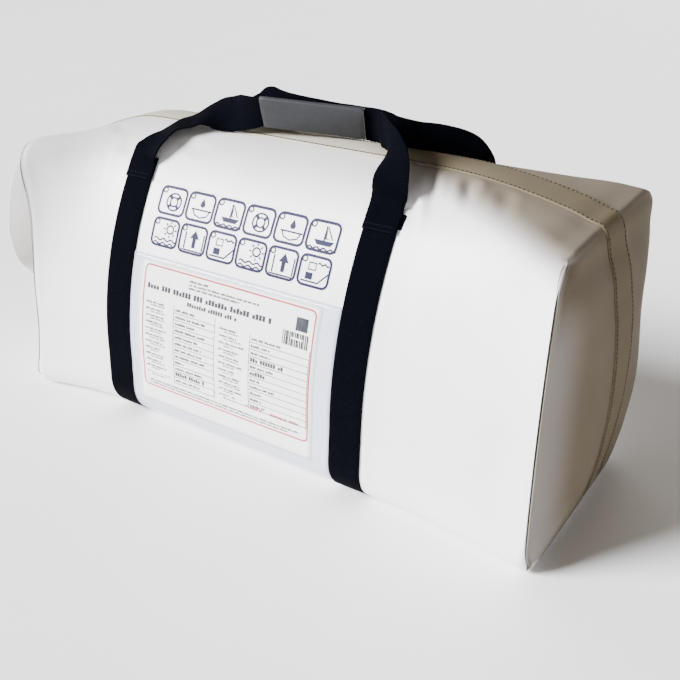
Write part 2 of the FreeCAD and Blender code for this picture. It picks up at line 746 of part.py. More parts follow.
for obj in doc.Objects:
    if "Invalid" in obj.State or "Error" in obj.State:
        raise RuntimeError(f"{obj.Name} failed: {obj.State}")
for obj in PARTS:
    shape = obj.Shape
    if shape.isNull() or not shape.isValid() or shape.Volume <= 0:
        raise RuntimeError(f"{obj.Label} has no valid shape")
    box = shape.BoundBox
    print(
        f"{obj.Label:20s} solids {len(shape.Solids):2d}  volume {shape.Volume / 1000:10.2f} cm3  "
        f"x {box.XMin:7.1f} {box.XMax:7.1f}  y {box.YMin:7.1f} {box.YMax:7.1f}  z {box.ZMin:6.1f} {box.ZMax:6.1f}"
    )
os.makedirs("parts", exist_ok=True)
for obj in PARTS:
    obj.Shape.exportStep(f"parts/{obj.Label}.step")
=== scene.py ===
# %% [markdown]
# # A liferaft valise
# A stuffed bag of white coated fabric. Two dark webbing straps go round it,
# two webbing handles lie on top, one of them with a grey wrap grip, and a
# clear pocket on the front holds a printed sheet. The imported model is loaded
# first, and every soft solid in it is replaced by a detailed piece that fills
# the same space.

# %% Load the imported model
import bpy
import bmesh
import math
import random
from mathutils import Matrix, Vector, noise
from mathutils.bvhtree import BVHTree


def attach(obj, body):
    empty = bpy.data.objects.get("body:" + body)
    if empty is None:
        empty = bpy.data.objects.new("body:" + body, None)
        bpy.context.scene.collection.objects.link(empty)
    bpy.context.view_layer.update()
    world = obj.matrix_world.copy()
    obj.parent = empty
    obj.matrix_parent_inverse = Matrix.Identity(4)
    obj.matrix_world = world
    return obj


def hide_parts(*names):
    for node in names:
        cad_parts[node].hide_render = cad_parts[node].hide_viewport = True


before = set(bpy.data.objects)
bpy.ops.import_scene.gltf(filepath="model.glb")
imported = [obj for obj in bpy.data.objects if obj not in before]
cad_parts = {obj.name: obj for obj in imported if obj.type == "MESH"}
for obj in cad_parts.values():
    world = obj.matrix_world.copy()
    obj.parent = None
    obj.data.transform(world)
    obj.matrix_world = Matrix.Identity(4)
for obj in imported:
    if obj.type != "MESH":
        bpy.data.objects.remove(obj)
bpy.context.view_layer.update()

MM = 0.001
BODY = "root"


# %% [markdown]
# A few helpers are used by every piece. A bmesh becomes an object at the
# origin and rides on the one body of the model.

# %% Helpers for pieces
def v(x, y, z):
    """a point given in millimetres"""
    return Vector((x * MM, y * MM, z * MM))


def new_object(bm, name, materials):
    """turn a bmesh into an object with its place in its mesh"""
    mesh = bpy.data.meshes.new(name)
    bm.to_mesh(mesh)
    bm.free()
    for material in materials:
        mesh.materials.append(material)
    thing = bpy.data.objects.new(name, mesh)
    bpy.context.scene.collection.objects.link(thing)
    return thing


def make_piece(bm, name, replaced, materials, smooth=True):
    """turn a bmesh into a piece of the model"""
    piece = new_object(bm, name, materials)
    for polygon in piece.data.polygons:
        polygon.use_smooth = smooth
    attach(piece, BODY)
    if replaced:
        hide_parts(*replaced)
    print(name, "has", len(piece.data.vertices), "points")
    return piece


def step(x):
    """smooth step from 0 to 1"""
    x = min(max(x, 0.0), 1.0)
    return x * x * (3 - 2 * x)


# %% [markdown]
# A finish is a small tree of nodes, which the editor has one place and link by
# hand. Here one function adds, sets and links a node. Colours are written as
# a screen shows them and turned to the linear values that Blender works with.

# %% Helpers for materials
def srgb(text):
    """an sRGB hex value as linear colour"""
    out = []
    for i in (0, 2, 4):
        c = int(text[i:i + 2], 16) / 255
        out.append(c / 12.92 if c <= 0.04045 else ((c + 0.055) / 1.055) ** 2.4)
    return (*out, 1.0)


def feed(tree, node, inputs):
    """give each named or numbered input of a node a link or a value"""
    for key, source in inputs.items():
        if isinstance(source, bpy.types.NodeSocket):
            tree.links.new(source, node.inputs[key])
        else:
            node.inputs[key].default_value = source


def add(tree, kind, inputs=None, stops=(), **settings):
    """add a node with its settings, its inputs and the stops of its colour ramp"""
    node = tree.nodes.new(kind)
    for key, value in settings.items():
        if hasattr(node, key):
            setattr(node, key, value)
        else:
            node.inputs[key.replace("_", " ")].default_value = value
    feed(tree, node, inputs or {})
    for i, (position, colour) in enumerate(stops):
        node.color_ramp.elements[i].position = position
        node.color_ramp.elements[i].color = srgb(colour)
    return node


def new_material(name, **settings):
    """a material and its main shader, with constants on the shader itself"""
    material = bpy.data.materials.new(name)
    material.use_nodes = True
    tree = material.node_tree
    shader = tree.nodes["Principled BSDF"]
    feed(tree, shader, {key.replace("_", " "): value for key, value in settings.items()})
    return material, tree, shader


# %% [markdown]
# ## Camera
# The camera stands where the photograph was taken from, found by fitting the
# bag's corners: a little over 30 degrees round to the right and 25 degrees up.

# %% Camera
AZIMUTH = 0.563658      # radians, round to the right
ELEVATION = 0.440644
ROLL = 0.0288297
STAND = v(680.06, -944.09, 665.61)
LENS = 46.51            # mm, for a sensor 36 mm wide
back = Vector((
    math.sin(AZIMUTH) * math.cos(ELEVATION),
    -math.cos(AZIMUTH) * math.cos(ELEVATION),
    math.sin(ELEVATION),
))
right = (-back).cross(Vector((0, 0, 1))).normalized()
up = right.cross(-back)
turned_right = math.cos(ROLL) * right + math.sin(ROLL) * up
turned_up = -math.sin(ROLL) * right + math.cos(ROLL) * up
camera_data = bpy.data.cameras.new("camera")
camera_data.lens = LENS
camera_data.sensor_width = 36
camera = bpy.data.objects.new("camera", camera_data)
bpy.context.scene.collection.objects.link(camera)
turn = Matrix((turned_right, turned_up, back)).transposed()
camera.matrix_world = Matrix.Translation(STAND) @ turn.to_4x4()
bpy.context.scene.camera = camera
print("camera %.2f m from the middle of the bag's base" % STAND.length)

# %% [markdown]
# ## Materials
# The bag is PVC-coated polyester: a fine woven base under a satin skin, so it
# shines softly, shows a faint grain, and picks up a little grey in its folds.
# Its right end, its shoulder and a little of its top lie in shade, and light
# alone left them too pale, so that shade is painted into the cloth's colour.
# Each point of the cloth stores its share of painted shade, from 0 to 1. As it
# rises, the white turns to a painted olive shade and the skin loses its shine.

# %% Painted shade on the cloth
END_PAINTED_SHADE = 0.96       # at the right end


def painted_shade(p, end):
    """how much painted shade the cloth takes at a point: most on the right shoulder and end"""
    top = 0.45 * step((p.z - 0.335) / 0.07)
    shoulder = 0.93 * step((0.2 * p.x + p.z - 0.42) / 0.045)
    return max(top, shoulder, end)


# %% Coated fabric
THREAD = 1.1          # mm, drawn coarser than the real 0.5 mm so that it shows


def coated_fabric(name, colour, darker, shade_colour, roughness):
    material, tree, shader = new_material(name, Roughness=roughness, IOR=1.5)
    place = add(tree, "ShaderNodeTexCoord").outputs["Object"]
    # the stored share of painted shade mixes a shade colour into the white and takes away its shine
    shade_share = add(tree, "ShaderNodeAttribute", attribute_name="painted_shade").outputs["Fac"]
    patches = add(tree, "ShaderNodeTexNoise", {"Vector": place}, Scale=7.0, Detail=5.0, Roughness=0.6)
    tint = add(tree, "ShaderNodeValToRGB", {"Fac": patches.outputs["Fac"]}, ((0.3, darker), (0.7, colour)))
    mixed = add(
        tree, "ShaderNodeMix", {"Factor": shade_share, 6: tint.outputs["Color"], 7: srgb(shade_colour)}, data_type="RGBA",
    )
    shine = add(tree, "ShaderNodeMapRange", {"Value": shade_share}, To_Min=0.5, To_Max=0.08)
    rough = add(tree, "ShaderNodeMapRange", {"Value": shade_share}, To_Min=roughness, To_Max=0.8)
    grain = add(tree, "ShaderNodeTexVoronoi", {"Vector": place}, Scale=1000 / THREAD)
    slack = add(tree, "ShaderNodeTexNoise", {"Vector": place}, Scale=38.0, Detail=3.0)
    fine = add(tree, "ShaderNodeBump", {"Height": grain.outputs["Distance"]}, Strength=0.12, Distance=0.0002)
    soft = add(
        tree, "ShaderNodeBump", {"Height": slack.outputs["Fac"], "Normal": fine.outputs["Normal"]},
        Strength=0.25, Distance=0.0012,
    )
    feed(tree, shader, {
        "Base Color": mixed.outputs[2], "Specular IOR Level": shine.outputs["Result"],
        "Roughness": rough.outputs["Result"], "Normal": soft.outputs["Normal"],
    })
    return material


# the third colour is the painted shade of the right end, the shoulder and the top
white_fabric = coated_fabric("pvc_coated_polyester", "EFEDEF", "E6E3E6", "574C36", 0.42)
# the strip is cut from the same white fabric: its beige base colours are painted shade over the top
shaded_strip_fabric = coated_fabric("pvc_coated_polyester_strip", "D6D0C3", "CBC4B6", "544A33", 0.45)


# %% [markdown]
# Webbing is woven in heavy ribs, so its pattern follows the strip: the map's
# U runs across it and V along it, both in millimetres. Two sine waves make the
# weave, and the dark one reflects very little, as matt polyester does.

# %% Woven webbing
WARP = 2.6            # mm between the lines along the webbing
RIB = 1.9             # mm between the ribs across it


def woven_webbing(name, colour, light, roughness, sheen, shine):
    material, tree, shader = new_material(
        name, Roughness=roughness, Sheen_Weight=sheen, Sheen_Roughness=0.5, Specular_IOR_Level=shine,
    )
    uv = add(tree, "ShaderNodeTexCoord").outputs["UV"]
    split = add(tree, "ShaderNodeSeparateXYZ", {"Vector": uv}).outputs
    across = add(tree, "ShaderNodeMath", {0: split["X"], 1: 2 * math.pi / WARP}, operation="MULTIPLY")
    along = add(tree, "ShaderNodeMath", {0: split["Y"], 1: 2 * math.pi / RIB}, operation="MULTIPLY")
    wave_x = add(tree, "ShaderNodeMath", {0: across.outputs[0]}, operation="SINE").outputs[0]
    wave_y = add(tree, "ShaderNodeMath", {0: along.outputs[0]}, operation="SINE").outputs[0]
    weave = add(tree, "ShaderNodeMath", {0: wave_x, 1: wave_y}, operation="MULTIPLY").outputs[0]
    ribs = add(tree, "ShaderNodeMath", {0: weave, 1: wave_y}, operation="ADD").outputs[0]
    tint = add(tree, "ShaderNodeValToRGB", {"Fac": ribs}, ((0.2, colour), (1.0, light)))
    bump = add(tree, "ShaderNodeBump", {"Height": ribs}, Strength=0.6, Distance=0.0005)
    feed(tree, shader, {"Base Color": tint.outputs["Color"], "Normal": bump.outputs["Normal"]})
    return material


dark_webbing = woven_webbing("polyester_webbing_dark", "010205", "05060F", 0.9, sheen=0.0, shine=0.025)
white_webbing = woven_webbing("polyester_webbing_white", "ECE9E2", "FAF8F3", 0.75, sheen=0.1, shine=0.12)


# %% [markdown]
# The grip is a grey coated wrap with a pale cut edge, the sheet is paper, and
# printing is plain ink that hardly shines. One faint cloud of tint and bump,
# at a scale of its own, keeps each of them from looking like plastic.

# %% Wrap, paper, ink and thread
def plain_finish(name, colour, darker, roughness, scale, strength, **settings):
    material, tree, shader = new_material(name, Roughness=roughness, **settings)
    place = add(tree, "ShaderNodeTexCoord").outputs["Object"]
    cloud = add(tree, "ShaderNodeTexNoise", {"Vector": place}, Scale=scale, Detail=4.0).outputs["Fac"]
    tint = add(tree, "ShaderNodeValToRGB", {"Fac": cloud}, ((0.35, darker), (0.65, colour)))
    bump = add(tree, "ShaderNodeBump", {"Height": cloud}, Strength=strength, Distance=0.0004)
    feed(tree, shader, {"Base Color": tint.outputs["Color"], "Normal": bump.outputs["Normal"]})
    return material


def matt_ink(name, colour, darker, roughness=0.6):
    return plain_finish(name, colour, darker, roughness, 500.0, 0.1, Specular_IOR_Level=0.1)


grey_wrap = plain_finish("coated_grip_wrap", "27292C", "212326", 0.5, 420.0, 0.5, Specular_IOR_Level=0.3)
grey_edge = plain_finish("coated_grip_wrap_cut_edge", "EDEDEF", "D8D9DB", 0.6, 420.0, 0.3)
paper = plain_finish("printing_paper", "F6F2EE", "EEEAE6", 0.7, 300.0, 0.15)
red_ink = matt_ink("red_ink", "B8261F", "A81F1B")
dark_ink = matt_ink("dark_ink", "1C1B20", "131217")
rule_ink = matt_ink("grey_ink", "66656C", "58575E")
blue_ink = matt_ink("navy_screen_ink", "14133A", "0F0E2E", 0.5)
olive_thread = plain_finish("polyester_thread_olive", "40381C", "2B2512", 0.7, 900.0, 0.4)
dark_thread = plain_finish(
    "polyester_thread_dark", "14161F", "0D0E15", 0.9, 900.0, 0.2, Specular_IOR_Level=0.1,
)
# a dark olive for the end seams' groove: the thread's colour and painted shade
seam_shade = plain_finish("seam_recess", "6A6252", "544D40", 0.9, 300.0, 0.2)

# %% [markdown]
# The pocket is clear soft PVC film, glossy and slightly blue. It is nearly
# invisible over the sheet, and its rim, where it is doubled and welded, is
# cloudier, so the alpha follows a value named rim that its points store.

# %% Clear film
clear_film, film_tree, film_shader = new_material(
    "clear_soft_pvc_film", Roughness=0.07, IOR=1.5, Base_Color=srgb("D6DFF0"), Coat_Weight=0.5,
    Coat_Roughness=0.04,
)
film_place = add(film_tree, "ShaderNodeTexCoord").outputs["Object"]
film_wave = add(film_tree, "ShaderNodeTexNoise", {"Vector": film_place}, Scale=16.0, Detail=2.0)
film_bump = add(
    film_tree, "ShaderNodeBump", {"Height": film_wave.outputs["Fac"]}, Strength=0.45, Distance=0.004,
)
film_rim = add(film_tree, "ShaderNodeAttribute", attribute_name="rim").outputs["Fac"]
film_alpha = add(film_tree, "ShaderNodeMapRange", {"Value": film_rim}, To_Min=0.03, To_Max=0.5)
feed(film_tree, film_shader, {"Normal": film_bump.outputs["Normal"], "Alpha": film_alpha.outputs[0]})
print(len(bpy.data.materials), "materials")


# %% [markdown]
# ## The bag
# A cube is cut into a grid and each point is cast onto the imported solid, so
# the cube's twelve edges become the bag's seams and corners. The form is then
# worked over like clay: fabric puckers, dents and the pinched corner.

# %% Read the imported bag's surface
def node_tree(name):
    """a search tree of a CAD node's mesh"""
    bm = bmesh.new()
    bm.from_mesh(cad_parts[name].data)
    bmesh.ops.remove_doubles(bm, verts=bm.verts, dist=1e-6)
    tree = BVHTree.FromBMesh(bm)
    bm.free()
    return tree


solid = node_tree("valise_body")
MIDDLE_Z = 0.185
# a seam's distance from the bag's centre at the base and at the top, and the
# end's height, in millimetres, for the right (1) and the left (-1) end
REACH = {1: (441, 432, 382), -1: (361, 346, 375)}


def seam_x(sign, z):
    """distance of an end seam from the centre at a height, in metres"""
    low, high, tall = REACH[sign]
    return (low + (high - low) * (z / MM) / tall) * MM


def cast(tree, x, dy, dz):
    """surface point straight out from the middle line, in the plane of x"""
    direction = Vector((0, dy, dz)).normalized()
    start = Vector((x, 0, MIDDLE_Z)) + direction * 0.5
    hit = tree.ray_cast(start, -direction)[0]
    return hit if hit else Vector((x, 0, MIDDLE_Z)) + direction * 0.15


print("packed bag's front wall is at", cast(solid, 0, -1, 0))

# %% [markdown]
# The bag has a long front, back, top and base, and two ends. A cube has the
# same six faces, so its grid lies well on the bag: rows of points run along
# the seams. A sculpted sphere would leave its poles in the way of them.

# %% Grid on a cube
CUTS = 38


def cut(bm, place, way):
    """cut a whole mesh along the plane at a place"""
    bmesh.ops.bisect_plane(bm, geom=bm.verts[:] + bm.edges[:] + bm.faces[:], plane_co=place, plane_no=way)


bag = bmesh.new()
bmesh.ops.create_cube(bag, size=2)
for place in (-0.36, 0.36):
    cut(bag, (place, 0, 0), (1, 0, 0))
bmesh.ops.subdivide_edges(bag, edges=bag.edges[:], cuts=CUTS, use_grid_fill=True)
print("bag grid", len(bag.verts), "points")

# %% Where a point of the cube goes
EDGE = 0.9999         # a point of the cube beyond this is on a face of it
INSIDE_SEAM = 0.0012  # rim points are cast this far inside the seam, in metres


def bag_point(p):
    """where a point of the cube goes on the bag"""
    u, a, b = p
    sign = 1 if u > 0 else -1
    share = 1.0
    if abs(u) > EDGE:
        share = max(abs(a), abs(b), 1e-6)
        a, b = a / share, b / share
    # the top corner of the grid lies where the upright seam ends
    dy, dz = a * (0.155 - 0.024 * step(b)), b * 0.19
    rim_z = MIDDLE_Z + dz
    for _ in range(2):
        rim = cast(solid, u * (seam_x(sign, rim_z) - INSIDE_SEAM), dy, dz)
        rim_z = rim.z
    if share > EDGE:
        return rim
    middle = REACH[sign][2] * MM / 2
    y = rim.y * share
    z = middle + (rim.z - middle) * share
    hit = solid.ray_cast(Vector((sign * 0.7, y, z)), Vector((-sign, 0, 0)))[0]
    flat = Vector((sign * seam_x(sign, z), y, z))
    return hit if hit and abs(hit.x) > abs(flat.x) - 0.004 else flat


# %% Painted shade of the end, edges of the seams, and the cast
# each point of the right end stores how much painted shade it takes
end_shade_layer = bag.verts.layers.float.new("end")
for vert in bag.verts:
    inside = max(abs(vert.co.y), abs(vert.co.z)) < EDGE
    # the painted shade of the end is a little lighter close to the front seam
    lighter_by_seam = (1 - step((vert.co.y + 1) / 0.4)) * step((0.75 - vert.co.z) / 0.35)
    vert[end_shade_layer] = END_PAINTED_SHADE - 0.16 * lighter_by_seam if vert.co.x > EDGE and inside else 0.0
seam_edges = []
for edge in bag.edges:
    one, two = edge.verts
    on_end = abs(one.co.x) > EDGE and abs(two.co.x) > EDGE
    on_side = abs(one.co.y) > EDGE and abs(two.co.y) > EDGE
    if on_end and on_side:
        seam_edges.append(edge)
for vert in bag.verts:
    vert.co = bag_point(vert.co)
bmesh.ops.smooth_vert(bag, verts=bag.verts, factor=0.3, use_axis_x=True, use_axis_y=True, use_axis_z=True)

# %% [markdown]
# The upright seams at the ends are drawn in by their stitching. Each is a
# row of edges that gets a narrow bevel, and the row left in the middle of
# the bevel is pressed into the bag.

# %% Upright end seams
SEAM_HALF = 0.0042            # half width of the drawn-in strip, in metres
SEAM_DEPTH, LIP = 0.0036, 0.0007
SEAM_LOW, SEAM_HIGH = 0.012, 0.374
made = bmesh.ops.bevel(
    bag, geom=seam_edges, offset=SEAM_HALF, offset_type="OFFSET", affect="EDGES", segments=4, profile=0.5,
    material=-1, clamp_overlap=True,
)
bag.normal_update()
strips = set(made["faces"])
border = {vert for vert in made["verts"] if any(face not in strips for face in vert.link_faces)}
lips = {e.other_vert(vert) for vert in border for e in vert.link_edges} & set(made["verts"]) - border
middle_row = set(made["verts"]) - border - lips
# the rows on the end's side of the seam take the end's painted shade, a little less
shaded_side = {vert for vert in border if any(e.other_vert(vert)[end_shade_layer] > 0.5 for e in vert.link_edges)}
shaded_side |= {vert for vert in lips if any(e.other_vert(vert) in shaded_side for e in vert.link_edges)}
for vert in shaded_side:
    vert[end_shade_layer] = 0.8
moves = [(vert, vert.normal * -SEAM_DEPTH) for vert in middle_row if SEAM_LOW < vert.co.z < SEAM_HIGH]
moves += [(vert, vert.normal * LIP) for vert in lips if SEAM_LOW < vert.co.z < SEAM_HIGH]
for vert, move in moves:
    vert.co += move
# the faces beside the pressed-in row take a dark olive: the thread's colour and painted shade in the groove
for face in strips:
    height = face.calc_center_median().z
    if any(vert in middle_row for vert in face.verts) and SEAM_LOW < height < SEAM_HIGH - 0.002:
        face.material_index = 1
print("seam points pressed in", len(middle_row))
bmesh.ops.recalc_face_normals(bag, faces=bag.faces)

# %% [markdown]
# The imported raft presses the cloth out, and the cloth answers with shallow
# waves: long ones over the front, short puckers beside the straps, a pinch
# where the upright seam ends, and a crease from there across the top. A
# sculptor would draw them with a brush. Here each is a soft bump or hollow at
# a measured place, so that it can be moved by a number.

# %% Places of waves, puckers, pinch and dents
STRAP_X = 192         # mm from the bag's middle to each girth strap
SEWN_TOP = 372        # mm, height of the straps' sewn upper ends
PINCH = v(431, -128, 368)
REAR_CORNER = v(432, 146, 369)
WAVES = [
    # pace per metre, start, height
    (5.0, (3.1, 0.7, 1.9), 2.2),
    (14.0, (7.7, 2.3, 5.1), 0.8),
]
PUCKERS = [
    # place, direction, length, width, depth
    ((221, -72, 375), (0.25, -0.6, -0.9), 22, 7, 5.0),
    ((236, -54, 397), (0.4, -0.8, -0.7), 18, 7, 5.5),
    ((283, -54, 401), (0.4, -0.9, -0.5), 18, 8, 6.0),
    ((330, -60, 396), (0.4, -0.9, -0.5), 22, 12, 2.6),
    ((182, -56, 396), (1, -0.5, -0.5), 34, 7, 1.6),
    ((-165, -96, 335), (0.6, 0.2, 1), 40, 9, 1.2),
    ((-120, -60, 392), (1, -0.3, 0.2), 50, 10, 1.4),
    ((-230, -70, 375), (-1, 0.2, -0.4), 46, 10, 1.6),
    ((-268, -52, 392), (-1, 0.3, -0.3), 50, 10, 1.4),
]
DENTS = [
    # place, radius along x, y, z, depth
    ((330, -163, 250), (70, 60, 60), 2.5),
    ((300, -160, 90), (80, 60, 50), 2.0),
    ((400, -166, 130), (30, 40, 90), 3.0),
    ((-290, -160, 240), (60, 60, 80), 2.5),
    ((-300, -160, 110), (60, 60, 60), 2.0),
    ((468, -60, 250), (60, 45, 70), 3.0),
    ((465, 60, 150), (60, 50, 90), 3.0),
    ((350, -80, 391), (48, 26, 26), 4.5),
    ((-290, 0, 405), (60, 70, 40), 3.0),
    ((0, 150, 230), (120, 60, 90), 2.5),
    ((300, 160, 200), (90, 60, 90), 2.5),
]
print(len(PUCKERS), "puckers and", len(DENTS), "dents")


# %% Relief of the cloth
def along_line(p, start, end):
    """share along a line and distance from it"""
    way = end - start
    share = max(0.0, min(1.0, (p - start).dot(way) / way.length_squared))
    return share, (p - start - way * share).length


def far_from(p, place, reach):
    """squared distance from a place, in units of its reach along x, y and z"""
    return sum((gap / (r * MM)) ** 2 for gap, r in zip(p - v(*place), reach))


def bell(*parts):
    """1 at the middle of a bump, falling softly to 0 around it"""
    return math.exp(-sum(part * part for part in parts))


def relief(p):
    """how far a point of the cloth stands out or sinks in, in metres"""
    out = sum(high * MM * noise.noise(p * pace + Vector(start)) for pace, start, high in WAVES)
    for place, way, length, width, depth in PUCKERS:
        gap = p - v(*place)
        way = Vector(way).normalized()
        run = gap.dot(way)
        side = (gap - way * run).length
        run = run / (length * MM)
        # a furrow, with half as high a bank on each side of it
        out -= depth * MM * bell(run, side / (width * MM))
        out += 0.5 * depth * MM * bell(run, (side - 0.014) / 0.008)
    # the stitched strip holds the top flat
    out *= step((abs(p.y) - 0.028) / 0.014) if p.z > 0.3 else 1.0
    for place, reach, depth in DENTS:
        out -= depth * MM * math.exp(-far_from(p, place, reach))
    # crease from the pinch to the rear corner
    share, far = along_line(p, PINCH, REAR_CORNER)
    out += 0.0022 * bell(far / 0.008) * (0.6 + 0.4 * abs(2 * share - 1))
    out -= 0.0016 * bell((far - 0.022) / 0.014)
    # pinch at the top of the seam: a small pit with a lip beside it
    out -= 0.006 * bell((p - PINCH).length / 0.011)
    out += 0.0035 * bell((p - PINCH - v(-7, -4, 6)).length / 0.008)
    return out


# %% [markdown]
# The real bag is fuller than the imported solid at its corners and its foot, so
# the cloth is first drawn out there. And where something flat is sewn on, or
# where the weight presses, the relief is calmed.

# %% Fuller corners and calm places
PULLS = [
    # centre, reach along x, y, z, movement
    ((-352, -135, 362), (50, 60, 60), (-15, -7, 12)),
    ((-362, -150, 20), (60, 60, 60), (-7, -3, 0)),
    ((425, 140, 378), (75, 75, 60), (5, 4, 13)),
    ((320, 105, 390), (100, 60, 50), (0, 3, 8)),
    ((455, 110, 150), (45, 60, 75), (8, 2, 0)),
]


def fuller(p, normal):
    """how far the stuffed cloth is drawn out beyond the plain form"""
    move = Vector()
    # the weight makes the foot bulge over the floor
    if p.z < 0.09:
        move += normal * (0.021 * max(0.0, -normal.z) * math.hypot(normal.x * 0.35, normal.y))
    for place, reach, way in PULLS:
        far = far_from(p, place, reach)
        if far < 9:
            move += v(*way) * math.exp(-far)
    return move


def calm(p):
    """no relief where something flat is sewn on, or under the weight"""
    keep = step((p.z - 0.012) / 0.05)
    for strap_x in (-STRAP_X * MM, STRAP_X * MM):
        if p.z < SEWN_TOP * MM:
            keep *= step((abs(p.x - strap_x) - 0.024) / 0.02)
    if p.y < -0.05 and abs(p.x) < 0.18 and p.z < 0.345:
        keep *= 0.35
    return keep


# %% Form the bag
bag.normal_update()
moves = [(vert, fuller(vert.co, vert.normal)) for vert in bag.verts]
for vert, move in moves:
    vert.co += move
bmesh.ops.subdivide_edges(bag, edges=bag.edges[:], cuts=1, use_grid_fill=True, smooth=0.4)
bag.normal_update()
moves = [(vert, vert.normal * (relief(vert.co) * calm(vert.co))) for vert in bag.verts]
for vert, move in moves:
    vert.co += move
    # the straps pass under the base, so the cloth is pressed up above them
    over_strap = abs(abs(vert.co.x) - STRAP_X * MM) < 0.026
    vert.co.z = max(vert.co.z, 0.0025 if over_strap else 0.0)
print("largest move %.1f mm" % (max(m.length for _, m in moves) / MM))
# each point of the cloth stores its share of painted shade
painted_shade_layer = bag.verts.layers.float.new("painted_shade")
for vert in bag.verts:
    vert[painted_shade_layer] = painted_shade(vert.co, vert[end_shade_layer])

valise = make_piece(bag, "valise", ["valise_body"], [white_fabric, seam_shade])
subdivision = valise.modifiers.new("Subdivision", "SUBSURF")
subdivision.levels = subdivision.render_levels = 1

# %% [markdown]
# Everything else lies on this cloth. A search tree of the finished bag finds
# the surface in front of any point, and the front's own arc turns a length
# measured up the cloth into a height.

# %% Places on the cloth
# radius of the front's arc, the height where it is widest, and how far its
# centre lies behind the bag's middle plane, in millimetres
FRONT_RADIUS, WIDEST_Z, ARC_BEHIND = 465, 112, 311


def shown_tree(piece):
    """a search tree of a finished piece, modifiers included"""
    depsgraph = bpy.context.evaluated_depsgraph_get()
    return BVHTree.FromObject(piece, depsgraph)


cloth = shown_tree(valise)


def on_front(x, z, off=0.0):
    """point on the front at a place in millimetres, lifted off by off"""
    hit, normal = cloth.ray_cast(v(x, -400, z), Vector((0, 1, 0)))[:2]
    return hit + normal * off * MM


def on_arc(arc):
    """height in millimetres of a length measured up the front's curve"""
    return WIDEST_Z + FRONT_RADIUS * math.sin(arc / FRONT_RADIUS)


print("front's middle", on_front(0, WIDEST_Z))


# %% [markdown]
# ## Strips
# All webbing, and the strip over the closure, are flat strips that follow a
# route. A curve object with a flat profile would twist where the webbing
# turns, so the route gives each station its own sideways direction. A grid is
# laid along it, gets a thickness, and carries a map in millimetres for the
# weave.

# %% Smooth route
SPACING = 0.0019              # metres between stations


def curve_through(points, spacing):
    """closely spaced stations on a smooth curve through the given ones"""
    out = []
    last = len(points) - 1
    for i in range(last):
        quad = [points[j] for j in (max(i - 1, 0), i, i + 1, min(i + 2, last))]
        count = max(1, round((quad[2][0] - quad[1][0]).length / spacing))
        for k in range(count):
            u = k / count
            out.append(tuple(
                b + (c - a) * (u / 2) + (a * 2 - b * 5 + c * 4 - d) * (u * u / 2)
                + (b * 3 - a - c * 3 + d) * (u ** 3 / 2) for a, b, c, d in zip(*quad)
            ))
    return out + [points[last]]


def heading(line, i):
    """which way a line runs at one of its points"""
    return (line[min(i + 1, len(line) - 1)] - line[max(i - 1, 0)]).normalized()


def lengths_along(line):
    """length of a line up to each of its points"""
    out = [0.0]
    for a, b in zip(line, line[1:]):
        out.append(out[-1] + (b - a).length)
    return out


# %% Strip of webbing
WEBBING, WEBBING_THICK, COLUMNS = 45.0, 2.0, 8
SCALLOP, RIPPLE = 0.35, 3.8   # mm, how far the woven edge goes in and out, and how often


def station(vert, rows):
    """a grid point's place across the strip, from -1 to 1, and its row"""
    return vert.co.x, round((vert.co.y + 1) / 2 * (rows - 1))


def thicken(piece, thick, offset=0):
    """give a sheet its thickness in millimetres, about its middle or on one side"""
    solidify = piece.modifiers.new("Thickness", "SOLIDIFY")
    solidify.thickness = thick * MM
    solidify.offset = offset
    return piece


def soften(piece, name, width):
    """a small bevel on the sharp edges"""
    bevel = piece.modifiers.new(name, "BEVEL")
    bevel.width = width * MM
    bevel.segments = 2
    bevel.limit_method = "ANGLE"


def strip(name, route, replaced, material):
    """a strip of webbing along stations of (centre, across)"""
    rows = len(route)
    centres = [centre for centre, _ in route]
    lengths = [length / MM for length in lengths_along(centres)]
    bm = bmesh.new()
    bmesh.ops.create_grid(bm, x_segments=COLUMNS, y_segments=rows - 1, size=1)
    uv = bm.loops.layers.uv.new("UVMap")
    frames = []
    for i, (centre, across) in enumerate(route):
        along = heading(centres, i)
        across = (across - along * across.dot(along)).normalized()
        frames.append((centre, across, along.cross(across)))
    for face in bm.faces:
        for loop in face.loops:
            x, row = station(loop.vert, rows)
            loop[uv].uv = (x * WEBBING / 2, lengths[row])
    for vert in bm.verts:
        x, row = station(vert, rows)
        centre, across, normal = frames[row]
        edge = abs(x) > 0.99
        ripple = SCALLOP * math.sin(lengths[row] * 2 * math.pi / RIPPLE) if edge else 0.0
        crown = 0.25 * (1 - x * x)
        aside = x * WEBBING / 2 + math.copysign(ripple, x)
        vert.co = centre + across * (aside * MM) + normal * crown * MM
    bmesh.ops.recalc_face_normals(bm, faces=bm.faces)
    piece = thicken(make_piece(bm, name, replaced, [material]), WEBBING_THICK)
    soften(piece, "Worn edge", 0.35 * WEBBING_THICK)
    print(name, "%.0f mm long" % lengths[-1])


# %% [markdown]
# Stitches are short capsules laid along a line on a surface. A row of them is
# one mesh, and each has only six sides, because there are hundreds.

# %% Rows of stitches
def capsules(name, spans, material, radius):
    """one piece of many short threads, each from one point to another"""
    bm = bmesh.new()
    for start, end in spans:
        way = end - start
        if way.length < 1e-6:
            continue
        made = bmesh.ops.create_cone(
            bm, cap_ends=True, segments=6, radius1=radius * MM, radius2=radius * MM, depth=way.length,
        )
        turn = way.to_track_quat("Z", "Y").to_matrix().to_4x4()
        bmesh.ops.transform(bm, matrix=Matrix.Translation((start + end) / 2) @ turn, verts=made["verts"])
    return make_piece(bm, name, (), [material])


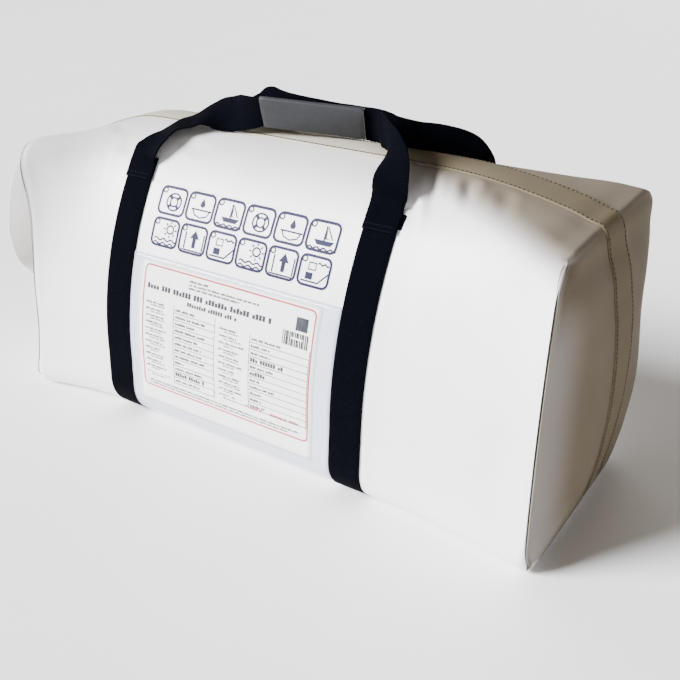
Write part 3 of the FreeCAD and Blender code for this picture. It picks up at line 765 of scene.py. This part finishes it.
def dashes(line, stitch, gap):
    """spans of stitches along a polyline of points"""
    out = []
    lengths = lengths_along(line)

    def at(s):
        for k in range(len(lengths) - 1):
            if lengths[k + 1] >= s:
                part = (s - lengths[k]) / max(lengths[k + 1] - lengths[k], 1e-9)
                return line[k].lerp(line[k + 1], part)
        return line[-1]

    s = 0.0
    while s + stitch * MM < lengths[-1]:
        out.append((at(s), at(s + stitch * MM)))
        s += (stitch + gap) * MM
    return out


# %% [markdown]
# The two girth straps carry the weight. Each starts at a sewn end high on the
# front, passes under the base and ends high on the back. Rays towards the
# bag's middle find its route, so it lies in the cloth's waves and dents.

# %% Lines on the cloth
ALONG_BAG, ACROSS_BAG = Vector((1, 0, 0)), Vector((0, 1, 0))


def strap_route(x):
    """round the bag from the front's sewn end, under it and up the back"""
    angles = [math.radians(-162 + 324 * i / 560) for i in range(561)]
    return [cast(cloth, x, math.sin(angle), -math.cos(angle)) for angle in angles]


def resample(points, spacing):
    """points at an even spacing along a polyline"""
    out = [points[0]]
    left = spacing
    for a, b in zip(points, points[1:]):
        run = (b - a).length
        at = left
        while at <= run:
            out.append(a.lerp(b, at / run))
            at += spacing
        left = at - run
    return out


def evened(line, rounds):
    """a line with its small wiggles smoothed out"""
    for _ in range(rounds):
        line = [line[0]] + [(a + b * 2 + c) / 4 for a, b, c in zip(line, line[1:], line[2:])] + [line[-1]]
    return line


def outward(line, i, across, middle):
    """direction away from the bag's middle at a station of a line"""
    out = across.cross(heading(line, i))
    return -out if out.dot(line[i] - middle) < 0 else out


# %% Girth straps
def strap(name, x):
    line = [p for p in strap_route(x * MM) if p.z <= SEWN_TOP * MM]
    line = evened(resample(line, SPACING), 6)
    route = []
    for i, p in enumerate(line):
        centre = p + outward(line, i, ALONG_BAG, Vector((0, 0, MIDDLE_Z))) * 0.0012
        # under the base the webbing rests on the floor
        centre.z = max(centre.z, 0.0013)
        route.append((centre, ALONG_BAG))
    strip(name, route, ["girth_" + name], dark_webbing)


strap("strap_left", -STRAP_X)
strap("strap_right", STRAP_X)

# %% [markdown]
# A short cut end of webbing shows beside the right strap's sewn end.

# %% Strap's cut end
tail_route = [(on_front(196 + 0.1 * k, 351 + k, 2.6), Vector((0.98, 0, -0.2))) for k in range(0, 17, 2)]
strip("strap_right_tail", tail_route, (), dark_webbing)

# %% [markdown]
# ## Handles
# Each handle is sewn over the upper ends of the two straps, leaves them
# upwards, twists on to its edge and lies along the top of the bag. Its twists
# were read from the photo, so each route is a short list of stations, and a
# smooth curve runs through them.

# %% Stations of a handle
TOP = 419             # mm, height of the bag
STRAP_THICK = 3.4     # mm that strap and handle stand off the front together


def wall_y(z):
    """half width of the bag's middle at a height, on the outside of a strap"""
    return math.sqrt((FRONT_RADIUS + STRAP_THICK) ** 2 - (z - WIDEST_Z) ** 2) - ARC_BEHIND


def sewn(sign_x, side, upwards, across):
    """three stations flat on the wall, at a sewn end"""
    heights = (SEWN_TOP, 358.5, 345)
    if upwards:
        heights = heights[::-1]
    return [(v(sign_x * STRAP_X, side * wall_y(z), z), Vector(across)) for z in heights]


def leaving(x, side, drop, stand, across, anchor):
    """a station close to the wall, by its drop from the top and stand off the wall"""
    z = TOP - drop
    return v(anchor * STRAP_X + x, side * (wall_y(z) + stand), z), Vector(across)


def free(x, y, rise, across, anchor):
    """a free station, by its place beside a strap (-1, 1) or the middle (0)"""
    return v(anchor * STRAP_X + x, y, TOP + rise), Vector(across)


# %% Place of the grip
# it is straight: its axes, its centre and half of its length
yaw, dip, lean = math.radians(18), math.radians(2), math.radians(32)
grip_along = Vector((math.cos(yaw) * math.cos(dip), math.sin(yaw) * math.cos(dip), -math.sin(dip)))
level = Vector((math.sin(yaw), -math.cos(yaw), 0))
grip_across = level.cross(grip_along) * math.cos(lean) + level * math.sin(lean)
grip_through = grip_along.cross(grip_across)
grip_centre = v(48, -22, TOP + 27.5)
half_grip = grip_along * 71.5 * MM
print("grip leans %.0f degrees" % math.degrees(lean))

# %% Routes of the handles
FRONT_LEFT = sewn(-1, -1, True, (-1, 0, 0)) + [
    leaving(4, -1, 39, 3, (-0.96, 0.25, 0.1), -1),
    free(20, -68, -21, (-0.75, 0.62, 0.1), -1),
    free(36, -51, -5, (-0.48, 0.85, 0.15), -1),
    free(54, -40, 2, (-0.45, 0.85, 0.18), -1),
    free(78, -32, 13, (-0.3, 0.8, 0.46), -1),
    free(114, -29, 17, (0, 0.2, 0.98), -1),
    (grip_centre - half_grip, grip_across),
    (grip_centre, grip_across),
]
FRONT_RIGHT = [
    (grip_centre, grip_across),
    (grip_centre + half_grip, grip_across),
    free(-46, -18, 25, (0.22, -0.42, 0.88), 1),
    free(-21, -44, 24, (0.52, -0.7, 0.48), 1),
    free(-3, -65, 8, (0.88, -0.28, 0.36), 1),
    free(6, -83, -14, (1, 0, 0), 1),
    leaving(1, -1, 36, 5, (1, 0, 0), 1),
] + sewn(1, -1, False, (1, 0, 0))
REAR = sewn(-1, 1, True, (-1, 0, 0)) + [
    leaving(3, 1, 37, 3, (-1, -0.1, 0.1), -1),
    free(26, 75, -22, (-0.8, -0.25, 0.5), -1),
    free(75, 61, -10, (-0.46, -0.37, 0.82), -1),
    free(116, 33, 12, (-0.3, -0.25, 0.92), -1),
    free(129, 27, 18, (-0.25, -0.12, 0.96), -1),
    free(142, 22, 27, (-0.05, 0, 1), -1),
    free(160, 20, 25, (0.05, -0.1, 0.99), -1),
    free(0, 18, 23, (0, -0.2, 0.98), 0),
    free(60, 22, 20, (0, -0.25, 0.97), 0),
    free(-76, 27, 18.5, (0, -0.25, 0.97), 1),
    free(-50, 31, 14, (0.1, -0.4, 0.9), 1),
    free(-20, 38, 11, (0.1, -0.45, 0.88), 1),
    free(8, 42, 10.5, (0.2, -0.4, 0.88), 1),
    free(33, 54, 2, (0.6, -0.1, 0.75), 1),
    free(43, 63, -10, (0.85, 0, 0.5), 1),
    free(43, 73, -23, (0.93, 0.1, 0.1), 1),
    free(29, 80, -35, (0.9, 0.1, -0.3), 1),
    leaving(8, 1, 40, 4, (0.95, 0, -0.25), 1),
] + sewn(1, 1, False, (1, 0, 0))

# %% Front and rear handle
left_part = curve_through(FRONT_LEFT, SPACING)
right_part = curve_through(FRONT_RIGHT, SPACING)
straight = round(half_grip.length / SPACING)
middle = []
for k in range(1, 2 * straight):
    share = k / straight - 1
    middle.append((grip_centre + half_grip * share, grip_across))
front_route = left_part[:-straight] + middle + right_part[straight:]
strip("handle_front", front_route, ["front_handle"], dark_webbing)
strip("handle_rear", curve_through(REAR, SPACING), ["rear_handle"], dark_webbing)

# %% [markdown]
# Two rows of stitching hold each handle end on its strap.

# %% Stitching of the handles
spans = []
for sign_x in (-1, 1):
    for side in (-1, 1):
        for z in (347, 352):
            y = side * (wall_y(z) + 1.25)
            line = [v(sign_x * STRAP_X + x, y, z) for x in (-20, 20)]
            spans += dashes(line, 2.6, 1.2)
capsules("handle_stitches", spans, dark_thread, 0.4)

# %% [markdown]
# A loop of white webbing gives a hand hold on the left end. Only its edge can
# be seen from the camera. It stands out in a soft bow between two sewn places,
# one high and one low on the end.

# %% Loop handle on the left end
LOOP_X = -590         # mm, the loop's farthest reach
SEWN_OFF = 3.2        # mm off the cloth where it is sewn


def end_x(z):
    """the left end's cloth at a height, in millimetres"""
    return cloth.ray_cast(v(-700, 0, z), ALONG_BAG)[0].x / MM


loop_points = [(end_x(z) - SEWN_OFF, z) for z in (330, 319, 308)]
loop_points += [(LOOP_X + x, z) for x, z in (
    (135, 303), (95, 308), (55, 302), (28, 268), (9, 213), (0, 170), (12, 122), (42, 102), (76, 99),
    (104, 108),
)]
loop_points += [(end_x(z) - SEWN_OFF, z) for z in (106, 95, 84)]
loop_route = curve_through([(v(x, 0, z), ACROSS_BAG) for x, z in loop_points], 0.0025)
strip("end_loop", loop_route, ["end_handle"], white_webbing)

# %% [markdown]
# ## Closure strip
# A strip of the same fabric covers the closure. It starts low on the left
# end, goes over the top and down the right end, with a row of olive stitches
# along both edges. It is thin and sewn flat, so every point of its grid is
# laid on the cloth, and its edges a little deeper.

# %% Closure strip
BAND = 60             # mm wide
BAND_MIDDLE = v(0, 0, 190)


def centre_line():
    """points over the bag from low on the left end to low on the right"""
    out = []
    for i in range(521):
        angle = math.radians(-200 + 220 * i / 520)
        direction = Vector((math.cos(angle), 0, -math.sin(angle)))
        hit, normal = cloth.ray_cast(BAND_MIDDLE + direction * 0.9, -direction)[:2]
        if hit and hit.z > 0.04:
            out.append(hit + normal * 0.75 * MM)
    return out


middle_line = evened(resample(centre_line(), 0.003), 3)
rows = len(middle_line)
band_bm = bmesh.new()
bmesh.ops.create_grid(band_bm, x_segments=12, y_segments=rows - 1, size=1)
band_painted_shade = band_bm.verts.layers.float.new("painted_shade")
for vert in band_bm.verts:
    x, row = station(vert, rows)
    out = outward(middle_line, row, ACROSS_BAG, BAND_MIDDLE)
    start = middle_line[row] + Vector((0, x * BAND / 2 * MM, 0)) + out * 0.05
    hit, normal = cloth.ray_cast(start, -out)[:2]
    off = 0.45 if abs(x) > 0.99 else 0.8
    vert.co = hit + normal * off * MM
    # the strip takes the same painted shade, full over the right end
    vert[band_painted_shade] = painted_shade(vert.co, END_PAINTED_SHADE * step((vert.co.x - 0.4) / 0.025))
bmesh.ops.recalc_face_normals(band_bm, faces=band_bm.faces)
band = thicken(make_piece(band_bm, "closure_strip", ["closure_band"], [shaded_strip_fabric]), 1.2)

# %% [markdown]
# The stitches lie on the strip as it is shown, and a search tree of it finds
# their places.

# %% Stitching of the closure strip
band_tree = shown_tree(band)


def on_band(line, y, off):
    """points on the strip along its line, at a distance y from its middle"""
    out = []
    for i, p in enumerate(line):
        away = outward(line, i, ACROSS_BAG, BAND_MIDDLE)
        hit = band_tree.ray_cast(Vector((p.x, y * MM, p.z)) + away * 0.05, -away)[0]
        if hit:
            out.append(hit + away * off * MM)
    return out


spans = []
for y in (-26.5, 26.5):
    spans += dashes(on_band(middle_line, y, 0.2), 4.2, 1.3)
band_stitches = capsules("closure_stitches", spans, olive_thread, 0.8)

# %% [markdown]
# ## Grip
# The grip is one piece of grey coated cloth folded over the handle, so its
# upper edge is a fold, its lower edges meet, and its ends show the cut. A
# block is enough for it: rounded along its length, hollowed a little at both
# ends, and cut into a grid that can be pressed and bulged.

# %% Wrap grip
GRIP_SIZE = (135, 9, 49)      # mm long, thick and high
grip = bmesh.new()
bmesh.ops.create_cube(grip, size=1)
bmesh.ops.scale(grip, vec=[size * MM for size in GRIP_SIZE], verts=grip.verts)
long_edges = [e for e in grip.edges if abs(e.verts[0].co.x - e.verts[1].co.x) > 0.1]
bmesh.ops.bevel(
    grip, geom=long_edges, offset=4.2 * MM, offset_type="OFFSET", affect="EDGES", segments=5, profile=0.5,
    material=-1,
)
# the cut edge of the cloth is a pale rim round each end
end_faces = [f for f in grip.faces if abs(f.normal.x) > 0.9]
bmesh.ops.inset_region(grip, faces=end_faces, thickness=1.4 * MM, depth=0)
for face in grip.faces:
    if abs(face.normal.x) > 0.9:
        face.material_index = 1
inner = [f for f in grip.faces if abs(f.normal.x) > 0.9 and f.calc_area() > 100 * MM * MM]
bmesh.ops.inset_region(grip, faces=inner, thickness=0.2 * MM, depth=-3 * MM)
for place in range(-60, 61, 10):
    cut(grip, (place * MM, 0, 0), (1, 0, 0))
for place in range(-18, 19, 6):
    cut(grip, (0, 0, place * MM), (0, 0, 1))
for vert in grip.verts:
    x, y, z = vert.co
    if abs(y) > 0.001:
        # the wrap is pressed flatter near its folded upper edge
        flatter = 1 - 0.25 * step((z - 0.012) / 0.01)
        bulge = 0.0012 * noise.noise(Vector((x * 30, y * 10, z * 40)))
        vert.co.y = y * flatter + math.copysign(bulge, y)
turn = Matrix((grip_along, grip_through, grip_across)).transposed()
if turn.determinant() < 0:
    turn = Matrix((grip_along, -grip_through, grip_across)).transposed()
bmesh.ops.transform(grip, matrix=Matrix.Translation(grip_centre) @ turn.to_4x4(), verts=grip.verts)
bmesh.ops.recalc_face_normals(grip, faces=grip.faces)
grip_piece = make_piece(grip, "grip_wrap", ["handle_grip"], [grey_wrap, grey_edge])
soften(grip_piece, "Soft edge", 0.5)


# %% [markdown]
# ## Document pocket
# Printing is laid on the front as thin flat shapes: each outline is filled,
# divided, and every point is set on the cloth at its own small height.

# %% Flat panels
def panel(bm, x0, x1, z0, z1, off, index=0, step_mm=9.0):
    """a rectangle on the front, each point on the cloth"""
    nx = max(1, round(abs(x1 - x0) / step_mm))
    nz = max(1, round(abs(z1 - z0) / step_mm))
    made = bmesh.ops.create_grid(bm, x_segments=nx, y_segments=nz, size=1)
    for vert in made["verts"]:
        a, b = (vert.co.x + 1) / 2, (vert.co.y + 1) / 2
        vert.co = on_front(x0 + (x1 - x0) * a, z0 + (z1 - z0) * b, off)
    for face in {f for vert in made["verts"] for f in vert.link_faces}:
        face.material_index = index


# %% Lines of ink
def ink_line(bm, points, closed, width, off, index=0):
    """a line of ink of even width through flat points, laid on the front"""
    count = len(points)
    pairs = []
    for i, (x, z) in enumerate(points):
        ahead = points[(i + 1) % count] if closed or i < count - 1 else points[i]
        behind = points[i - 1] if closed or i > 0 else points[i]
        dx, dz = ahead[0] - behind[0], ahead[1] - behind[1]
        far = math.hypot(dx, dz) or 1.0
        nx, nz = -dz / far * width / 2, dx / far * width / 2
        pairs.append([bm.verts.new(on_front(x + k * nx, z + k * nz, off)) for k in (-1, 1)])
    for i in range(count if closed else count - 1):
        a, b = pairs[i], pairs[(i + 1) % count]
        bm.faces.new((a[0], b[0], b[1], a[1])).material_index = index


def rounded(x, z, w, h, r, steps=5):
    """the outline of a rounded rectangle about a centre"""
    out = []
    for cx, cz, start in (
        (x + w / 2 - r, z + h / 2 - r, 0), (x - w / 2 + r, z + h / 2 - r, 90),
        (x - w / 2 + r, z - h / 2 + r, 180), (x + w / 2 - r, z - h / 2 + r, 270),
    ):
        for k in range(steps + 1):
            angle = math.radians(start + 90 * k / steps)
            out.append((cx + r * math.cos(angle), cz + r * math.sin(angle)))
    # more points along the straight sides, so that they follow the cloth
    dense = []
    for i, a in enumerate(out):
        b = out[(i + 1) % len(out)]
        parts = max(1, round(math.hypot(b[0] - a[0], b[1] - a[1]) / 5))
        dense += [(a[0] + (b[0] - a[0]) * k / parts, a[1] + (b[1] - a[1]) * k / parts) for k in range(parts)]
    return dense


# %% [markdown]
# The sheet is A4 paper on its side. It lies on the bag behind the film.

# %% Sheet of paper
SHEET_X = -5          # mm, the sheet's middle
SHEET_HALF = 148.5
page = bmesh.new()
panel(page, SHEET_X - SHEET_HALF, SHEET_X + SHEET_HALF, 41, 249, 0.5)
bmesh.ops.recalc_face_normals(page, faces=page.faces)
page_piece = thicken(make_piece(page, "sheet_of_paper", ["certificate"], [paper]), 0.2, 1)

# %% [markdown]
# The sheet is a filled-in form. Its print is drawn from rows of small plain
# blocks, which read as lines of type from afar, inside a red frame and grey
# rules. A picture on the sheet would be quicker, but shapes stay sharp and
# need no image file.

# %% Frame, rules and blocks of print
form = bmesh.new()
FX0, FX1, FZ0, FZ1 = SHEET_X - 140.5, SHEET_X + 140.5, 68, 243
INK = 0.78            # mm, height of the ink over the cloth
ROW = 9.4             # mm between the rows of fields
frame_line = rounded(SHEET_X, (FZ0 + FZ1) / 2, FX1 - FX0, FZ1 - FZ0, 7)
ink_line(form, frame_line, True, 2.1, INK)


def bar(x, z, long, tall, index):
    panel(form, x, x + long, z, z + tall, INK, index, 14.0)


draw = random.Random(11)


def blocks(x, z, long, tall, index=1):
    """a row of small blocks in groups, that reads as a line of print from afar"""
    at = x
    while at < x + long - tall * 0.6:
        for _ in range(draw.randint(3, 8)):
            if at > x + long - tall * 0.6:
                break
            panel(form, at, at + tall * 0.6, z, z + tall * draw.choice((1.0, 1.0, 0.72)), INK, index, 30.0)
            at += tall * 0.74
        at += tall * 0.6


# %% Form on the sheet
# heading: three small lines, a large one and a middling one
for row, (long, tall) in enumerate(((34, 2.8), (118, 2.6), (86, 2.6))):
    blocks(SHEET_X - 62, 234 - row * 4.6, long, tall)
blocks(SHEET_X - 134, 212, 214, 7.2)
blocks(SHEET_X - 62, 202, 88, 5.6)
# two columns of ruled fields, each row with a label and an entry
for left, top, rows, long in ((FX0 + 6, 190, 12, 72), (SHEET_X - 4, 184, 11, 92)):
    for row in range(rows):
        z = top - row * ROW
        blocks(left, z + 2.4, 26 + draw.random() * 18, 2.5)
        blocks(left + 8, z - 1.0, 16 + draw.random() * 14, 2.0, 2)
        bar(left + 50, z - 2.4, long, 0.9, 1)
        large = draw.random() < 0.2
        blocks(left + 53, z + (0.2 if large else 0.8), 14 + draw.random() * 42, 5.6 if large else 3.2)
    for x in (left + 50, left + 50 + long):
        bar(x, top - rows * ROW + 6.6, 0.9, rows * ROW + 2, 1)
# last lines, and a red entry
for row in range(2):
    blocks(FX0 + 10, 76 - row * 4.2, 258 - row * 16, 2.3)
blocks(SHEET_X + 4, 88, 66, 3.0, 0)
blocks(SHEET_X + 82, 87, 46, 5.2, 0)
# a plain block and a ruled block at the top right
bar(FX1 - 27, 214, 18, 17, 1)
for k in range(15):
    bar(FX1 - 45 + k * 2.6, 193, 1.4 + 0.5 * (k % 3), 18, 1)
bmesh.ops.recalc_face_normals(form, faces=form.faces)
form_inks = [red_ink, dark_ink, rule_ink]
thicken(make_piece(form, "form_print", ["certificate_print"], form_inks), 0.06, 1)

# %% [markdown]
# The pocket's film reaches from strap to strap. It stands a little off the
# sheet and is drawn down along its welded rim, with slow waves over the sheet
# and short ripples near the rim, which catch the light as soft film does.

# %% Clear film over the sheet
FILM_HALF_X, FILM_HALF_Z, FILM_Z = 169, 117.5, 137.5
film = bmesh.new()
bmesh.ops.create_grid(film, x_segments=68, y_segments=48, size=1)
rim_layer = film.verts.layers.float.new("rim")


def film_noise(x, z, pace_x, pace_z, start):
    return noise.noise(Vector((x * pace_x, z * pace_z, start)))


for vert in film.verts:
    a, b = vert.co.x, vert.co.y
    x, z = a * FILM_HALF_X, FILM_Z + b * FILM_HALF_Z
    over_sheet = abs(x - SHEET_X) < 149 and 40 < z < 250
    vert[rim_layer] = 0.0 if over_sheet else 0.6 + 0.4 * (max(abs(a), abs(b)) > 0.97)
    rim = min(1 - abs(a), (1 - abs(b)) * 0.7)
    lift = 1.1 + 1.1 * step(rim / 0.12)
    wave = 0.55 * film_noise(x, z, 0.012, 0.03, 2.0) + 0.3 * film_noise(x, z, 0.05, 0.02, 7.0)
    ripple = 0.9 * film_noise(x, z, 0.09, 0.035, 4.0) * (1 - step((rim - 0.05) / 0.12))
    vert.co = on_front(x, z, lift + (wave + ripple) * step(rim / 0.05))
bmesh.ops.recalc_face_normals(film, faces=film.faces)
film_piece = thicken(make_piece(film, "pocket_film", ["document_pocket"], [clear_film]), 0.3, 1)

# %% [markdown]
# ## Printed instructions
# Two rows of six rounded frames are printed above the pocket, because any such
# bag has steps to follow. In them stand plain drawings of this script's own
# making: a sun, a hull, an arrow, a ring, a slope and a drop.

# %% Frames
TILE_W, TILE_H, PITCH, STEP_ROW = 46.6, 39.6, 48.6, 43.4
FIRST_ROW = 159       # mm up the front's curve from where it is widest
ART = 0.35            # mm, height of the ink over the cloth
WIDER, TALLER, BOLDER = 1.28, 1.22, 1.25
print_bm = bmesh.new()


def lay(points, closed, width):
    """a line of ink, its heights measured up the cloth"""
    ink_line(print_bm, [(x, on_arc(arc)) for x, arc in points], closed, width, ART)


def circle(x, z, r, steps=14):
    turns = [2 * math.pi * k / steps for k in range(steps)]
    return [(x + r * math.cos(angle), z + r * math.sin(angle)) for angle in turns]


def wave_line(x, z, long, high, waves):
    shares = [k / (waves * 8) for k in range(waves * 8 + 1)]
    return [(x + long * (share - 0.5), z + high * math.sin(2 * math.pi * waves * share)) for share in shares]


def spokes(x, z, inner, outer, count, start=0.0):
    """short lines round a centre"""
    turns = [start + 2 * math.pi * k / count for k in range(count)]
    return [[(x + r * math.cos(turn), z + r * math.sin(turn)) for r in (inner, outer)] for turn in turns]


# %% Six motifs
def motif(kind, x, z):
    """one of six plain drawings about a point, drawn in millimetres from it"""
    def line(points, closed, width):
        lay([(x + px * WIDER, z + pz * TALLER) for px, pz in points], closed, width * BOLDER)

    def fill(points):
        places = [on_front(x + px * WIDER, on_arc(z + pz * TALLER), ART) for px, pz in points]
        print_bm.faces.new([print_bm.verts.new(place) for place in places])

    if kind == 0:      # sun over waves
        line(circle(4, 5, 4.5), True, 1.6)
        for spoke in spokes(4, 5, 6.3, 9, 8):
            line(spoke, False, 1.5)
        for height in (-7, -11.5):
            line(wave_line(0, height, 30, 1.2, 3), False, 1.5)
    elif kind == 1:    # hull and sail
        fill([(-11, -3), (-7, -8), (8, -8), (12, -3)])
        line([(0, -3), (0, 12)], False, 1.5)
        line([(1.5, 11), (9, -1), (1.5, -1)], True, 1.5)
        line(wave_line(0, -11.5, 32, 1.0, 4), False, 1.5)
    elif kind == 2:    # arrow upwards between two rails
        fill([(-6, 2), (6, 2), (0, 11)])
        fill([(-2.2, -8), (2.2, -8), (2.2, 2), (-2.2, 2)])
        for side in (-12, 12):
            line([(side, -10), (side, 8)], False, 1.6)
        line([(-15, -11.5), (15, -11.5)], False, 1.5)
    elif kind == 3:    # ring with four marks
        line(circle(0, 0, 9.5, 20), True, 1.6)
        line(circle(0, 0, 5.0, 16), True, 1.5)
        for spoke in spokes(0, 0, 5, 9.5, 4, 0.785):
            line(spoke, False, 3.0)
    elif kind == 4:    # slope and blocks
        line([(-15, -10), (4, -10), (15, 2)], False, 1.6)
        fill([(-11, -8), (-3, -8), (-3, -1), (-11, -1)])
        line([(-9, 2), (-1, 2), (-1, 9), (-9, 9)], True, 1.5)
        line(wave_line(7, 9, 12, 1.0, 2), False, 1.5)
    else:              # drop over a bowl
        fill([(0, 11), (3.2, 4.5), (2.4, 2), (0, 0.8), (-2.4, 2), (-3.2, 4.5)])
        line([(-11, -2), (-8, -8), (0, -10.5), (8, -8), (11, -2)], False, 1.3)
        line([(-13, -2), (13, -2)], False, 1.5)


# %% Frames and motifs on the front
for row in (0, 1):
    for column in range(6):
        x = -2 + (column - 2.5) * PITCH
        z = FIRST_ROW + row * STEP_ROW + TILE_H / 2
        lay(rounded(x, z, TILE_W - 3.2, TILE_H - 3.2, 7.5), True, 3.2)
        lay(circle(x - TILE_W / 2 + 6.6, z + TILE_H / 2 - 6.6, 3.4, 12), True, 1.6)
        motif((column * 2 + row * 3) % 6, x + 2.5, z - 1.0)
bmesh.ops.recalc_face_normals(print_bm, faces=print_bm.faces)
print_piece = make_piece(
    print_bm, "instruction_frames", ["instruction_print"], [blue_ink], smooth=False,
)
thicken(print_piece, 0.08, 1)

# %% [markdown]
# ## Floor and light
# The main light is broad and soft and comes from the front left, like a big
# window, so the front is bright, the top is calmer and the right end lies in
# shade. A weak, very broad one comes back from a wall behind on the left, and
# a little warm light from all round fills the shade. A pale floor and a ring
# round it close the view. They are not attached to the model's body.

# %% Floor and backdrop
floor = bmesh.new()
bmesh.ops.create_grid(floor, x_segments=1, y_segments=1, size=25)
floor_finish = plain_finish("studio_floor", "FAFAFB", "F7F7F8", 0.9, 3.0, 0.0)
backdrop = bmesh.new()
bmesh.ops.create_cone(backdrop, cap_ends=False, segments=96, radius1=18, radius2=18, depth=5)
glow = new_material(
    "lit_backdrop", Base_Color=srgb("7C7C7E"), Roughness=1.0, Emission_Color=srgb("F4F4F5"),
    Emission_Strength=0.8,
)[0]
for bm, name, height, finish in (
    (floor, "floor", -0.0015, floor_finish), (backdrop, "backdrop", 2.49, glow),
):
    thing = new_object(bm, name, [finish])
    thing.location.z = height

# %% Lights
world = bpy.data.worlds.new("studio")
bpy.context.scene.world = world
world.use_nodes = True
feed(world.node_tree, world.node_tree.nodes["Background"], {"Color": srgb("D8C8AC"), "Strength": 0.18})


def sun(name, direction, strength, angle, colour):
    """a light from a direction, as wide in the sky as its angle in degrees"""
    data = bpy.data.lights.new(name, "SUN")
    data.energy = strength
    data.angle = math.radians(angle)
    data.color = srgb(colour)[:3]
    light = bpy.data.objects.new(name, data)
    bpy.context.scene.collection.objects.link(light)
    light.rotation_euler = (-Vector(direction)).to_track_quat("-Z", "Y").to_euler()


sun("window", (-0.62, -0.66, 0.43), 17.0, 26, "FBFBFF")
sun("back_wall_bounce", (-0.45, 0.80, 0.40), 1.1, 60, "FFF8F0")
